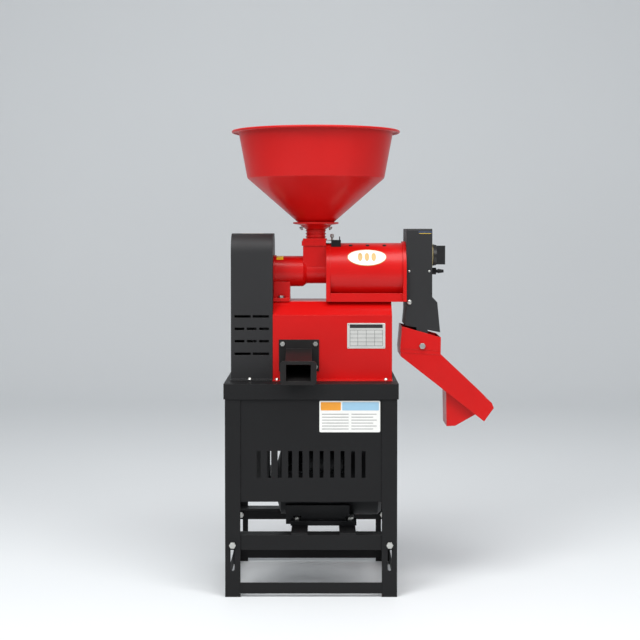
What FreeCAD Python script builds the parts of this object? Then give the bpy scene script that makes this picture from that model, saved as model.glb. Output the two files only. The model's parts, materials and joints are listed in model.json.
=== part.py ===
import FreeCAD, Part
import math
import os
import re

import Sketcher

# A small belt-driven rice huller on a sheet-steel stand.
# Frame: +X is the discharge side, -Y the front, +Z up. The origin is the centre of the stand's
# footprint on the floor. The main shaft lies along X at Y = 0.

SIZES = {
    # stand
    "stand_width": 400, "stand_depth": 340, "stand_height": 490, "plate": 3, "skirt": 35, "leg_width": 35,
    "leg_wall": 3, "rail_height": 25, "rail_lift": 8, "panel_wall": 1.5, "panel_height": 268,
    "vent_width": 9, "vent_height": 62, "vent_pitch": 24, "vent_count": 11, "vent_drop": 185,
    # motor carriage
    "slot_width": 9, "slot_inset": 20, "slot_bottom": 60, "carriage_bolt": 8, "bolt_height": 120,
    "bar_drop": 12, "bar_height": 34, "bar_flange": 40, "bar_wall": 4, "slide_gap": 0.3,
    "rail_width": 38, "rail_wall": 5,
    # motor
    "motor_centre": 28.5, "motor_rise": 90, "foot_pitch": 125, "foot_spread": 140, "foot_length": 155,
    "foot_width": 36, "foot_thick": 11, "motor_radius": 76, "fin_height": 9, "fin_wall": 3, "fin_count": 28,
    "motor_body": 150, "shield_length": 26, "cowl_length": 70, "cowl_wall": 1.5, "cowl_seat": 6, "motor_shaft_radius": 12,
    "shaft_reach": 50, "shoulder": 56, "foot_bolt": 8,
    # belt drive
    "groove_pitch": 19, "belt_x": -109, "belt_width": 16, "belt_height": 10, "belt_seat": 0.4,
    "main_pulley_radius": 70, "motor_pulley_radius": 37.5, "fan_groove_x": -147, "fan_belt_width": 11,
    "fan_belt_height": 7, "fan_step_radius": 55, "fan_pulley_radius": 29, "rim": 7,
    # main shaft line
    "axis_rise": 252.5, "shaft_radius": 12.5, "fit": 0.05, "bearing_radius": 26, "bearing_width": 15,
    "bearing_flange_x": -90, "barrel_end": -20, "barrel_radius": 36.5, "feed_radius": 29.5,
    "feed_wall": 5, "feed_start": -11, "pedestal_width": 39, "pedestal_depth": 62, "pedestal_base": 8,
    # milling chamber
    "chamber_start": 35, "end_wall": 10, "cover_start": 45, "cover_end": 218, "cover_radius": 67.5,
    "cover_wall": 5, "sole_height": 20, "screen_radius": 50, "screen_wall": 1.5, "roller_radius": 38,
    "rib_height": 5, "rib_wall": 8, "rib_count": 4, "cover_gap": 0.3, "flange_step": 4,
    "blade_wall": 6, "screw_angle": 35, "cover_screw_first": 93.4, "cover_screw_pitch": 40,
    # inlet
    "inlet_left": -20, "inlet_half": 27.5, "inlet_top": 72, "collar": 11, "collar_step": 3,
    "gate_wall": 2.7, "gate_length": 81, "gate_half": 23.7, "gate_gap": 0.3, "gate_pull": 9.5,
    "knob_radius": 4.5, "throat_radius": 22.5, "throat_wall": 2.5, "neck_height": 26,
    "rim_radius": 54.5, "rim_height": 4, "cone_foot": 23, "cone_rise": 122, "cone_radius": 162.5,
    "band_height": 109, "mouth_radius": 183, "lip_width": 14, "lip_rise": 3.5, "bead": 4,
    "hopper_wall": 1.2,
    # bran box and fan
    "box_left": -90, "box_length": 279, "box_half": 88, "box_height": 182, "slope_drop": 30,
    "slope_run": 40, "box_wall": 2, "fan_height": 103, "fan_x": -60, "fan_width": 62, "scroll_radius": 70,
    "impeller_radius": 58, "blade_count": 8, "fan_shaft_radius": 8, "fan_bearing_radius": 16,
    # bran outlet
    "duct_width": 60, "duct_height": 42, "duct_reach": 110, "duct_fall": 26, "duct_top": 75,
    "duct_wall": 2, "flange_width": 94, "flange_height": 74, "flange_low": 21, "lip_width": 83,
    "lip_height": 54, "lip_depth": 5, "outlet_x": -28.7,
    # belt guard
    "guard_left": -188, "guard_gap": 0.5, "guard_half": 88, "guard_height": 343, "guard_round": 45,
    "guard_wall": 1.5, "guard_vent": 6,
    # discharge head
    "head_left": 224, "head_right": 285, "head_top": 354, "head_half": 60, "head_wall": 4,
    "head_flare": 12, "lug_radius": 13, "pivot_radius": 4, "outlet_radius": 44,
    # chute
    "pivot_x": 261.5, "pivot_height": 78, "chute_half": 63, "chute_wall": 1.5,
    # discharge valve and pressure screw
    "valve_radius": 48, "valve_length": 12, "spring_radius": 13, "wire": 2.2, "spring_turns": 5,
    "screw_radius": 4, "nut_length": 14, "nut_flats": 14, "dome_radius": 5.5, "dome_length": 14,
    "seat_gap": 0.3,
    # switch
    "switch_rise": 291, "switch_plate": 6, "switch_knob_radius": 26, "switch_knob_length": 8,
    "grip_length": 21, "grip_wall": 14, "grip_height": 45,
}

doc = FreeCAD.newDocument("RiceHuller")
sheet = doc.addObject("Spreadsheet::Sheet", "Sizes")
for row, (alias, number) in enumerate(SIZES.items(), start=1):
    sheet.set("A%d" % row, alias)
    sheet.set("B%d" % row, str(number))
    sheet.setAlias("B%d" % row, alias)
doc.recompute()

X_AXIS = FreeCAD.Vector(1, 0, 0)
Y_AXIS = FreeCAD.Vector(0, 1, 0)
Z_AXIS = FreeCAD.Vector(0, 0, 1)
ALONG = {
    "Z": FreeCAD.Rotation(),
    "X": FreeCAD.Rotation(Y_AXIS, 90),
    "Y": FreeCAD.Rotation(X_AXIS, -90),
}
parts_made = []

# Derived places, written as expressions over the sheet's names.
TOP = "stand_height"
AXIS = "(stand_height + axis_rise)"
FAN_AXIS = "(stand_height + fan_height)"
BOX_TOP = "(stand_height + box_height)"
LEG_X = "(stand_width / 2 - plate)"
LEG_Y = "(stand_depth / 2 - plate)"
CARRIAGE = "(bolt_height - bar_drop)"
RAIL_TOP = "(bolt_height - bar_drop + bar_height + rail_wall)"
MOTOR_AXIS = "(bolt_height - bar_drop + bar_height + rail_wall + motor_rise)"
FRONT_BOLT = "(motor_centre - foot_pitch / 2)"
SHOULDER_X = "(motor_centre - foot_pitch / 2 - shoulder)"
COLLAR_TOP = "(stand_height + axis_rise + inlet_top)"
INLET_X = "((inlet_left + chamber_start) / 2 + 3)"
GATE_BOTTOM = "(stand_height + axis_rise + inlet_top + gate_gap)"
GATE_TOP = "(stand_height + axis_rise + inlet_top + 2 * gate_gap + gate_wall)"
CONE_BASE = "(stand_height + axis_rise + inlet_top + 2 * gate_gap + gate_wall + neck_height)"
PIVOT_Z = "(stand_height + pivot_height)"
GUARD_RIGHT = "(box_left - guard_gap)"


def sized(text):
    """The expression text with every name of the sheet written out in full."""
    return re.sub(r"[A-Za-z_]\w*", lambda word: full_name(word.group(0)), str(text))


def full_name(word):
    return "Sizes." + word if word in SIZES else word


def value(text):
    """The number that an expression over the sheet's names gives now."""
    return float(sheet.evalExpression(sized(text)))


def place(item, x="0", y="0", z="0", along="Z"):
    """Put an item at the place that three expressions give, its own Z turned along an axis."""
    item.Placement = FreeCAD.Placement(FreeCAD.Vector(), ALONG[along])
    for axis, text in zip("xyz", (x, y, z)):
        item.setExpression("Placement.Base." + axis, sized(text))
    return item


def bind(item, **properties):
    for name, text in properties.items():
        item.setExpression(name, sized(text))
    return item


def box(x, y, z, length, width, height):
    """A box from its lowest corner."""
    item = bind(doc.addObject("Part::Box", "Box"), Length=length, Width=width, Height=height)
    return place(item, x, y, z)


def wide_box(x, z, length, half, height):
    """A box that reaches as far to the front of the main shaft's plane as behind it."""
    return box(x, "-(%s)" % half, z, length, "2 * (%s)" % half, height)


def cylinder(x, y, z, radius, height, along="Z"):
    item = bind(doc.addObject("Part::Cylinder", "Cylinder"), Radius=radius, Height=height)
    return place(item, x, y, z, along)


def cone(x, y, z, low_radius, high_radius, height, along="Z"):
    item = bind(doc.addObject("Part::Cone", "Cone"), Radius1=low_radius, Radius2=high_radius, Height=height)
    return place(item, x, y, z, along)


def hexagon(x, y, z, flats, height, along="Z"):
    """A hexagonal bar from its width across flats."""
    item = doc.addObject("Part::Prism", "Hexagon")
    item.Polygon = 6
    bind(item, Circumradius="(%s) / sqrt(3)" % flats, Height=height)
    return place(item, x, y, z, along)


def fuse(*items):
    if len(items) == 1:
        return items[0]
    union = doc.addObject("Part::MultiFuse", "Fuse")
    union.Shapes = list(items)
    return union


def cut(base, *tools):
    result = doc.addObject("Part::Cut", "Cut")
    result.Base = base
    result.Tool = fuse(*tools)
    return result


def common(first, second):
    result = doc.addObject("Part::Common", "Common")
    result.Base = first
    result.Tool = second
    return result


def turned(item, axis, angle, x="0", y="0", z="0"):
    """An item made round the origin, turned about an axis there and then moved to a place."""
    group = doc.addObject("Part::Compound", "Turned")
    group.Links = [item]
    place(group, x, y, z)
    group.Placement.Rotation = FreeCAD.Rotation(axis, angle)
    return group


def origin_feature(body, role):
    """One of a body's own origin planes or axes."""
    return next(feature for feature in body.Origin.OriginFeatures if feature.Role == role)


def sketch_on(body, role, outlines=(), circles=()):
    """A sketch on an origin plane whose corners, centres and radii are bound to expressions."""
    sketch = body.newObject("Sketcher::SketchObject", "Profile")
    sketch.AttachmentSupport = [(origin_feature(body, role), "")]
    sketch.MapMode = "FlatFace"
    for outline in outlines:
        draw_outline(sketch, outline)
    for centre_x, centre_y, radius in circles:
        draw_circle(sketch, centre_x, centre_y, radius)
    return sketch


def draw_outline(sketch, outline):
    corners = [FreeCAD.Vector(value(x), value(y), 0) for x, y in outline]
    first = sketch.GeometryCount
    count = len(corners)
    for index, corner in enumerate(corners):
        sketch.addGeometry(Part.LineSegment(corner, corners[(index + 1) % count]), False)
    for index in range(count):
        following = first + (index + 1) % count
        sketch.addConstraint(Sketcher.Constraint("Coincident", first + index, 2, following, 1))
    for index, (x, y) in enumerate(outline):
        tie(sketch, "DistanceX", first + index, 1, corners[index].x, x)
        tie(sketch, "DistanceY", first + index, 1, corners[index].y, y)


def draw_circle(sketch, centre_x, centre_y, radius):
    centre = FreeCAD.Vector(value(centre_x), value(centre_y), 0)
    index = sketch.addGeometry(Part.Circle(centre, Z_AXIS, value(radius)), False)
    tie(sketch, "DistanceX", index, 3, centre.x, centre_x)
    tie(sketch, "DistanceY", index, 3, centre.y, centre_y)
    size = sketch.addConstraint(Sketcher.Constraint("Radius", index, value(radius)))
    sketch.setExpression("Constraints[%d]" % size, sized(radius))


def tie(sketch, kind, geometry, point, number, text):
    """Bind one coordinate of a sketch point, measured from the origin, to an expression."""
    constraint = sketch.addConstraint(Sketcher.Constraint(kind, -1, 1, geometry, point, number))
    sketch.setExpression("Constraints[%d]" % constraint, sized(text))


def pad(body, sketch, length, middle=False):
    feature = body.newObject("PartDesign::Pad", "Pad")
    feature.Profile = sketch
    feature.Midplane = middle
    return bind(feature, Length=length)


def pocket(body, sketch, length, middle=False, backwards=False):
    feature = body.newObject("PartDesign::Pocket", "Pocket")
    feature.Profile = sketch
    feature.Midplane = middle
    feature.Reversed = backwards
    return bind(feature, Length=length)


def extrusion(role, outlines, length, circles=(), middle=False):
    """A body with one profile, padded from (or evenly about) an origin plane."""
    body = doc.addObject("PartDesign::Body", "Body")
    pad(body, sketch_on(body, role, outlines, circles), length, middle)
    return body


def revolution(outlines, axis="H_Axis"):
    """A body turned about its own X axis (H_Axis; points are x, radius) or Z axis (V_Axis)."""
    body = doc.addObject("PartDesign::Body", "Body")
    sketch = sketch_on(body, "XZ_Plane", outlines)
    feature = body.newObject("PartDesign::Revolution", "Revolution")
    feature.Profile = sketch
    feature.ReferenceAxis = (sketch, [axis])
    feature.Angle = 360
    return body


def ring_pattern(body, feature, count, role="X_Axis"):
    """Repeat a feature evenly round one of the body's own axes."""
    pattern = body.newObject("PartDesign::PolarPattern", "Pattern")
    pattern.Originals = [feature]
    pattern.Axis = (origin_feature(body, role), [""])
    pattern.Angle = 360
    bind(pattern, Occurrences=count)
    body.Tip = pattern
    return pattern


def row_pattern(body, feature, count, pitch, role="X_Axis"):
    """Repeat a feature in a row along one of the body's own axes."""
    pattern = body.newObject("PartDesign::LinearPattern", "Pattern")
    pattern.Originals = [feature]
    pattern.Direction = (origin_feature(body, role), [""])
    pattern.Mode = "Spacing"
    bind(pattern, Occurrences=count, Offset=pitch)
    body.Tip = pattern
    return pattern


def shell(body, wall, opened):
    """Hollow a body to a wall inside its faces, leaving open the faces that a test picks."""
    doc.recompute()
    tip = body.Tip
    names = ["Face%d" % (index + 1) for index, face in enumerate(tip.Shape.Faces) if opened(face)]
    hollow = body.newObject("PartDesign::Thickness", "Hollow")
    hollow.Base = (tip, names)
    hollow.Reversed = True
    hollow.Join = 1
    bind(hollow, Value=wall)
    return hollow


def round_edges(body, radius, picked):
    """Round the edges of a body that a test picks."""
    doc.recompute()
    tip = body.Tip
    names = ["Edge%d" % (index + 1) for index, edge in enumerate(tip.Shape.Edges) if picked(edge)]
    fillet = body.newObject("PartDesign::Fillet", "Round")
    fillet.Base = (tip, names)
    bind(fillet, Radius=radius)
    return fillet


def runs_along(edge, axis):
    """True for a straight edge that lies along an axis."""
    first, last = edge.Vertexes[0].Point, edge.Vertexes[-1].Point
    run = last - first
    return run.Length > 0 and abs(abs(run.normalize().dot(axis)) - 1) < 1e-6


def faces_towards(face, axis):
    return face.normalAt(0, 0).dot(axis) > 0.99


def done(name, item):
    """Keep an item as the sub-part of that name."""
    item.Label = name
    parts_made.append(item)
    return item


# --- stand ---------------------------------------------------------------------------------------


def make_top_plate():
    """A plate folded down at its four edges, open where the belts pass."""
    outer = wide_box("-stand_width / 2", "stand_height - skirt", "stand_width", "stand_depth / 2", "skirt")
    inner = wide_box("-stand_width / 2 + plate", "stand_height - skirt - plate", "stand_width - 2 * plate",
                     "stand_depth / 2 - plate", "skirt")
    belt_opening = wide_box("belt_x - 56", "stand_height - 2 * plate", "76", "main_pulley_radius", "3 * plate")
    done("top_plate", cut(outer, inner, belt_opening))


def make_legs():
    """Four angle legs inside the folded edge, each with a slot for a carriage bolt."""
    for front, y_name in ((-1, "front"), (1, "rear")):
        for side, x_name in ((-1, "left"), (1, "right")):
            make_leg("leg_%s_%s" % (y_name, x_name), side, front)


def make_leg(name, side, front):
    def corner(x_inset, y_inset):
        return "%d * (%s - %s)" % (side, LEG_X, x_inset), "%d * (%s - %s)" % (front, LEG_Y, y_inset)

    outline = (corner("0", "0"), corner("leg_width", "0"), corner("leg_width", "leg_wall"),
               corner("leg_wall", "leg_wall"), corner("leg_wall", "leg_width"), corner("0", "leg_width"))
    leg = extrusion("XY_Plane", [outline], "stand_height - plate")
    slot_x = "%d * (stand_width / 2 - slot_inset)" % side
    slot_low = "slot_bottom + slot_width / 2"
    face_y = "%d * %s - 2 * leg_wall" % (front, LEG_Y)
    run = box(slot_x + " - slot_width / 2", face_y, slot_low, "slot_width", "4 * leg_wall",
              "bolt_height - slot_bottom - slot_width / 2")
    ends = [cylinder(slot_x, face_y, height, "slot_width / 2", "4 * leg_wall", "Y")
            for height in (slot_low, "bolt_height")]
    done(name, cut(leg, run, *ends))


def make_bottom_rails():
    """Four flat bars welded between the legs."""
    half_x = "(%s - leg_width)" % LEG_X
    half_y = "(%s - leg_width)" % LEG_Y
    bars = [box("-" + half_x, y, "rail_lift", "2 * " + half_x, "leg_wall", "rail_height")
            for y in ("-" + LEG_Y, LEG_Y + " - leg_wall")]
    bars += [box(x, "-" + half_y, "rail_lift", "leg_wall", "2 * " + half_y, "rail_height")
             for x in ("-" + LEG_X, LEG_X + " - leg_wall")]
    done("bottom_rails", fuse(*bars))


def make_front_panel():
    """A sheet behind the front legs with a row of upright ventilation slots."""
    half = "(%s - leg_wall)" % LEG_X
    low = "stand_height - plate - panel_height"
    body = extrusion("XZ_Plane", [(("-" + half, low), (half, low), (half, "stand_height - plate"),
                                   ("-" + half, "stand_height - plate"))], "panel_wall")
    first = "-(vent_count - 1) / 2 * vent_pitch"
    middle = "stand_height - vent_drop"
    slot = ((first + " - vent_width / 2", middle + " - vent_height / 2"),
            (first + " + vent_width / 2", middle + " - vent_height / 2"),
            (first + " + vent_width / 2", middle + " + vent_height / 2"),
            (first + " - vent_width / 2", middle + " + vent_height / 2"))
    opening = pocket(body, sketch_on(body, "XZ_Plane", [slot]), "3 * panel_wall", middle=True)
    row_pattern(body, opening, "vent_count", "vent_pitch")
    place(body, y="-(%s - leg_wall - panel_wall)" % LEG_Y)
    done("front_panel", body)


# --- motor carriage ------------------------------------------------------------------------------

BAR_Y = "(%s - leg_wall - slide_gap)" % LEG_Y
BAR_X = "(%s - leg_wall - slide_gap)" % LEG_X
RAIL_CENTRES = ("%s + 7" % FRONT_BOLT, "%s + foot_pitch - 7" % FRONT_BOLT)
FOOT_BOLTS = (FRONT_BOLT, "(%s + foot_pitch)" % FRONT_BOLT)


def make_crossbars():
    """Two angles between the legs, bolted through the leg slots."""
    for front, name in ((-1, "crossbar_front"), (1, "crossbar_rear")):
        def corner(inset, height):
            return "%d * (%s - %s)" % (front, BAR_Y, inset), "%s + %s" % (CARRIAGE, height)

        outline = (corner("0", "0"), corner("0", "bar_height"), corner("bar_flange", "bar_height"),
                   corner("bar_flange", "bar_height - bar_wall"), corner("bar_wall", "bar_height - bar_wall"),
                   corner("bar_wall", "0"))
        bar = extrusion("YZ_Plane", [outline], "2 * " + BAR_X, middle=True)
        holes = [cylinder("%d * (stand_width / 2 - slot_inset)" % side,
                          "%d * (%s - bar_wall / 2) - bar_wall" % (front, BAR_Y), "bolt_height",
                          "carriage_bolt / 2 + fit", "2 * bar_wall", "Y") for side in (-1, 1)]
        done(name, cut(bar, *holes))


def make_motor_rails():
    """Two flat bars from front to back that the motor's feet stand on."""
    bars = [box(centre + " - rail_width / 2", "-" + BAR_Y, RAIL_TOP + " - rail_wall", "rail_width",
                "2 * " + BAR_Y, "rail_wall") for centre in RAIL_CENTRES]
    holes = [cylinder(x, "%d * foot_spread / 2" % side, RAIL_TOP + " - 2 * rail_wall", "foot_bolt / 2 + fit",
                      "3 * rail_wall") for x in FOOT_BOLTS for side in (-1, 1)]
    done("motor_rails", cut(fuse(*bars), *holes))


def bolt(x, y, z, radius, grip, along="Z"):
    """A hexagon bolt and its nut, with what they grip between them. Its axis starts at the given
    place and runs along +Z or +Y."""
    reach = "(%s)" % grip
    flats = "(3.4 * %s)" % radius
    if along == "Z":
        def at(offset):
            return x, y, "%s + %s" % (z, offset)
    else:
        def at(offset):
            return x, "%s + %s" % (y, offset), z
    shank = cylinder(*at("-1.5 * %s" % radius), radius, "%s + 3 * %s" % (reach, radius), along)
    upper = hexagon(*at(reach), flats, "1.3 * %s" % radius, along)
    lower = hexagon(*at("-1.5 * %s" % radius), flats, "1.5 * %s" % radius, along)
    return fuse(shank, upper, lower)


def make_carriage_bolts():
    """Four bolts that clamp the crossbars to the slotted legs."""
    bolts = []
    for front in (-1, 1):
        for side in (-1, 1):
            x = "%d * (stand_width / 2 - slot_inset)" % side
            if front < 0:
                start = "-%s - slide_gap" % LEG_Y
            else:
                start = "%s - bar_wall" % BAR_Y
            bolts.append(bolt(x, start, "bolt_height", "(carriage_bolt / 2)",
                              "leg_wall + bar_wall + 2 * slide_gap", "Y"))
    done("carriage_bolts", fuse(*bolts))


def make_foot_bolts():
    """Four bolts that hold the motor's feet to the rails."""
    bolts = [bolt(x, "%d * foot_spread / 2" % side, RAIL_TOP + " - rail_wall", "(foot_bolt / 2)",
                  "rail_wall + foot_thick") for x in FOOT_BOLTS for side in (-1, 1)]
    done("motor_foot_bolts", fuse(*bolts))


# --- motor ---------------------------------------------------------------------------------------

BODY_X = "(%s + 4 + shield_length)" % SHOULDER_X


def make_motor_housing():
    """A finned barrel on two cast feet."""
    body = doc.addObject("PartDesign::Body", "Body")
    ring = sketch_on(body, "YZ_Plane", circles=[("0", "0", "motor_radius"), ("0", "0", "motor_radius - 10")])
    pad(body, ring, "motor_body")
    fin = (("-fin_wall / 2", "motor_radius - 2"), ("fin_wall / 2", "motor_radius - 2"),
           ("fin_wall / 2", "motor_radius + fin_height"), ("-fin_wall / 2", "motor_radius + fin_height"))
    rib = pad(body, sketch_on(body, "YZ_Plane", [fin]), "motor_body")
    ring_pattern(body, rib, "fin_count")
    place(body, BODY_X, "0", MOTOR_AXIS)
    feet = []
    bores = [cylinder(BODY_X + " - 1", "0", MOTOR_AXIS, "motor_radius - 10", "motor_body + 2", "X")]
    for side in (-1, 1):
        edge = "%d * foot_spread / 2 - foot_width / 2" % side
        feet.append(box("motor_centre - foot_length / 2", edge, RAIL_TOP, "foot_length", "foot_width",
                        "foot_thick"))
        feet.append(box(BODY_X, "%d * foot_spread / 2 - foot_width / 2 + %d" % (side, 12 - 6 * side), RAIL_TOP,
                        "motor_body", "12", "motor_rise - 0.6 * motor_radius"))
        for x in FOOT_BOLTS:
            bores.append(cylinder(x, "%d * foot_spread / 2" % side, RAIL_TOP + " - 1", "foot_bolt / 2 + fit",
                                  "foot_thick + 2"))
            bores.append(cylinder(x, "%d * foot_spread / 2" % side, RAIL_TOP + " + foot_thick",
                                  "foot_bolt + 2", "8"))
    done("motor_housing", cut(fuse(body, *feet), *bores))


def make_end_shields():
    """A dished shield with a shaft boss at each end of the barrel."""
    bore = "motor_shaft_radius + fit"
    profile = (("0", bore), ("0", "motor_shaft_radius + 20"), ("shield_length / 2", "motor_radius + 2.3"),
               ("shield_length", "motor_radius + 2.3"), ("shield_length", "motor_radius - 8"),
               ("shield_length / 2 + 6", "motor_radius - 10"), ("10", "motor_shaft_radius + 18"),
               ("16", "motor_shaft_radius + 12"), ("16", bore))
    front = place(revolution([profile]), SHOULDER_X + " + 4", "0", MOTOR_AXIS)
    mirrored = [("-(%s)" % x, radius) for x, radius in profile]
    rear = place(revolution([mirrored]), BODY_X + " + motor_body + shield_length", "0", MOTOR_AXIS)
    done("motor_end_shields", fuse(front, rear))


def make_motor_cowl():
    """A pressed cowl over the cooling fan, open to the barrel and slotted at its end."""
    outer = "(motor_radius + 4)"
    inner = "(motor_radius + 4 - cowl_wall)"
    profile = (("0", inner), ("0", outer), ("cowl_length - 8", outer), ("cowl_length", outer + " - 8"),
               ("cowl_length", "8"), ("cowl_length - cowl_wall", "8"),
               ("cowl_length - cowl_wall", outer + " - 9"), ("cowl_length - 8", inner))
    body = revolution([profile])
    slot = (("-4", "22"), ("4", "22"), ("9", "motor_radius - 12"), ("-9", "motor_radius - 12"))
    opening = pocket(body, sketch_on(body, "YZ_Plane", [slot]), "cowl_length + 5", backwards=True)
    ring_pattern(body, opening, "12")
    place(body, BODY_X + " + motor_body + cowl_seat", "0", MOTOR_AXIS)
    done("motor_fan_cowl", body)


def make_terminal_box():
    top = MOTOR_AXIS + " + motor_radius"
    lower = wide_box("motor_centre - 45", top + " - 6", "80", "38", "40")
    lid = wide_box("motor_centre - 48", top + " + 34", "86", "41", "9")
    barrel = cylinder(BODY_X, "0", MOTOR_AXIS, "motor_radius + fin_height + 0.2", "motor_body", "X")
    gland = cylinder("motor_centre + 35", "0", top + " + 18", "9", "16", "X")
    done("terminal_box", fuse(cut(lower, barrel), lid, gland))


def make_capacitor_covers():
    """Two long covers with domed tops beside the terminal box."""
    covers = []
    barrel = "motor_radius + fin_height + 0.2"
    for side in (-1, 1):
        cap = cylinder("motor_centre - 50", "%d * 72" % side, MOTOR_AXIS + " + 62", "24", "96", "X")
        covers.append(cut(cap, cylinder(BODY_X, "0", MOTOR_AXIS, barrel, "motor_body", "X")))
    done("capacitor_covers", fuse(*covers))


def make_motor_shaft():
    """The shaft with the rotor core inside the barrel."""
    start = SHOULDER_X + " - shaft_reach"
    shaft = cylinder(start, "0", MOTOR_AXIS, "motor_shaft_radius",
                     "shaft_reach + 4 + 2 * shield_length + motor_body + 34", "X")
    core = cylinder(BODY_X + " + 20", "0", MOTOR_AXIS, "motor_radius - 26", "motor_body - 40", "X")
    done("motor_shaft", fuse(shaft, core))


def make_motor_fan():
    """A seven-bladed radial cooling fan on the shaft's rear end."""
    hub_x = BODY_X + " + motor_body + shield_length + 3"
    body = extrusion("YZ_Plane", [], "26", circles=[("0", "0", "motor_shaft_radius + 9"),
                                                   ("0", "0", "motor_shaft_radius")])
    blade = (("-1.2", "motor_shaft_radius + 8"), ("1.2", "motor_shaft_radius + 8"),
             ("1.2", "motor_radius - 10"), ("-1.2", "motor_radius - 10"))
    vane = pad(body, sketch_on(body, "YZ_Plane", [blade]), "24")
    ring_pattern(body, vane, "7")
    disc = cut(cylinder(hub_x, "0", MOTOR_AXIS, "motor_radius - 10", "2.5", "X"),
               cylinder(hub_x + " - 1", "0", MOTOR_AXIS, "motor_shaft_radius", "5", "X"))
    done("motor_fan", fuse(place(body, hub_x, "0", MOTOR_AXIS), disc))


# --- belt drive ----------------------------------------------------------------------------------

BELT_CENTRES = ("belt_x - groove_pitch", "belt_x")


def groove(centre, width, height, rim):
    """The four profile corners of a V groove whose flanks clear the belt by the fit gap."""
    depth = "(%s + belt_seat + 1.5)" % height
    return [("%s - %s / 2 - 1" % (centre, width), rim),
            ("%s - %s / 2 + 0.3 * %s - 1" % (centre, width, depth), "%s - %s" % (rim, depth)),
            ("%s + %s / 2 - 0.3 * %s + 1" % (centre, width, depth), "%s - %s" % (rim, depth)),
            ("%s + %s / 2 + 1" % (centre, width), rim)]


def make_main_pulley():
    """Two grooves for the drive belts and a smaller step for the fan belt."""
    left = "fan_groove_x - fan_belt_width / 2 - 3.5"
    step = "belt_x - groove_pitch - belt_width / 2 - 3"
    right = "belt_x + belt_width / 2 + 4"
    profile = [(left, "shaft_radius"), (left, "fan_step_radius")]
    profile += groove("fan_groove_x", "fan_belt_width", "fan_belt_height", "fan_step_radius")
    profile += [(step, "fan_step_radius"), (step, "main_pulley_radius")]
    for centre in BELT_CENTRES:
        profile += groove("(%s)" % centre, "belt_width", "belt_height", "main_pulley_radius")
    profile += [(right, "main_pulley_radius"), (right, "main_pulley_radius - belt_height - 2 * rim"),
                (right + " - 16", "main_pulley_radius - belt_height - 2 * rim"), (right + " - 16", "26"),
                (right, "26"), (right, "shaft_radius")]
    done("main_pulley", place(revolution([profile]), "0", "0", AXIS))


def make_motor_pulley():
    left = "belt_x - groove_pitch - belt_width / 2 - 3"
    right = "belt_x + belt_width / 2 + 3"
    profile = [(left, "motor_shaft_radius"), (left, "motor_pulley_radius")]
    for centre in BELT_CENTRES:
        profile += groove("(%s)" % centre, "belt_width", "belt_height", "motor_pulley_radius")
    profile += [(right, "motor_pulley_radius"), (right, "motor_shaft_radius")]
    done("motor_pulley", place(revolution([profile]), "0", "0", MOTOR_AXIS))


def make_fan_pulley():
    left = "fan_groove_x - fan_belt_width / 2 - 3"
    right = "fan_groove_x + fan_belt_width / 2 + 3"
    profile = [(left, "fan_shaft_radius"), (left, "fan_pulley_radius")]
    profile += groove("fan_groove_x", "fan_belt_width", "fan_belt_height", "fan_pulley_radius")
    profile += [(right, "fan_pulley_radius"), (right, "fan_shaft_radius")]
    done("fan_pulley", place(revolution([profile]), "0", "0", FAN_AXIS))


def belt_shape(centre, width, height, high, high_radius, low, low_radius):
    """A V belt round two pulleys in one upright plane: two straight runs and two wrapped ends."""
    seat = value("belt_seat")
    tall = value(height)
    wide = value(width)
    x = value(centre)
    top = FreeCAD.Vector(x, 0, value(high))
    bottom = FreeCAD.Vector(x, 0, value(low))
    top_inner = value(high_radius) - tall - seat
    bottom_inner = value(low_radius) - tall - seat
    lean = math.asin((top_inner - bottom_inner) / (top.z - bottom.z))
    narrow = wide - 0.6 * tall

    def section(pulley, inner, side):
        outward = FreeCAD.Vector(0, side * math.cos(lean), -math.sin(lean))
        corners = [pulley + outward * inner - X_AXIS * narrow / 2,
                   pulley + outward * (inner + tall) - X_AXIS * wide / 2,
                   pulley + outward * (inner + tall) + X_AXIS * wide / 2,
                   pulley + outward * inner + X_AXIS * narrow / 2]
        return Part.Face(Part.makePolygon(corners + corners[:1])), pulley + outward * inner

    pieces = []
    for side in (1, -1):
        face, start = section(top, top_inner, side)
        end = section(bottom, bottom_inner, side)[1]
        pieces.append(face.extrude(end - start))
    wrap = math.degrees(lean)
    pieces.append(section(top, top_inner, 1)[0].revolve(top, X_AXIS, 180 + 2 * wrap))
    pieces.append(section(bottom, bottom_inner, -1)[0].revolve(bottom, X_AXIS, 180 - 2 * wrap))
    return pieces[0].fuse(pieces[1:]).removeSplitter()


def make_belts():
    drive = doc.addObject("Part::Feature", "DriveBelts")
    drive.Shape = Part.makeCompound([
        belt_shape(centre, "belt_width", "belt_height", AXIS, "main_pulley_radius", MOTOR_AXIS,
                   "motor_pulley_radius") for centre in BELT_CENTRES])
    done("drive_belts", drive)
    fan = doc.addObject("Part::Feature", "FanBelt")
    fan.Shape = belt_shape("fan_groove_x", "fan_belt_width", "fan_belt_height", AXIS, "fan_step_radius",
                           FAN_AXIS, "fan_pulley_radius")
    done("fan_belt", fan)


# --- main shaft line -----------------------------------------------------------------------------

SCREEN_START = "(cover_start - 4 + seat_gap)"
ROLLER_START = "(cover_start + 7)"
ROLLER_END = "(cover_end - 12)"


def make_main_shaft():
    start = "(fan_groove_x - fan_belt_width / 2 - 9)"
    shaft = cylinder(start, "0", AXIS, "shaft_radius", "%s - %s + 8" % (ROLLER_END, start), "X")
    end_nut = hexagon(start + " - 6", "0", AXIS, "1.6 * shaft_radius", "6.5", "X")
    done("main_shaft", fuse(shaft, end_nut))


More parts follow.
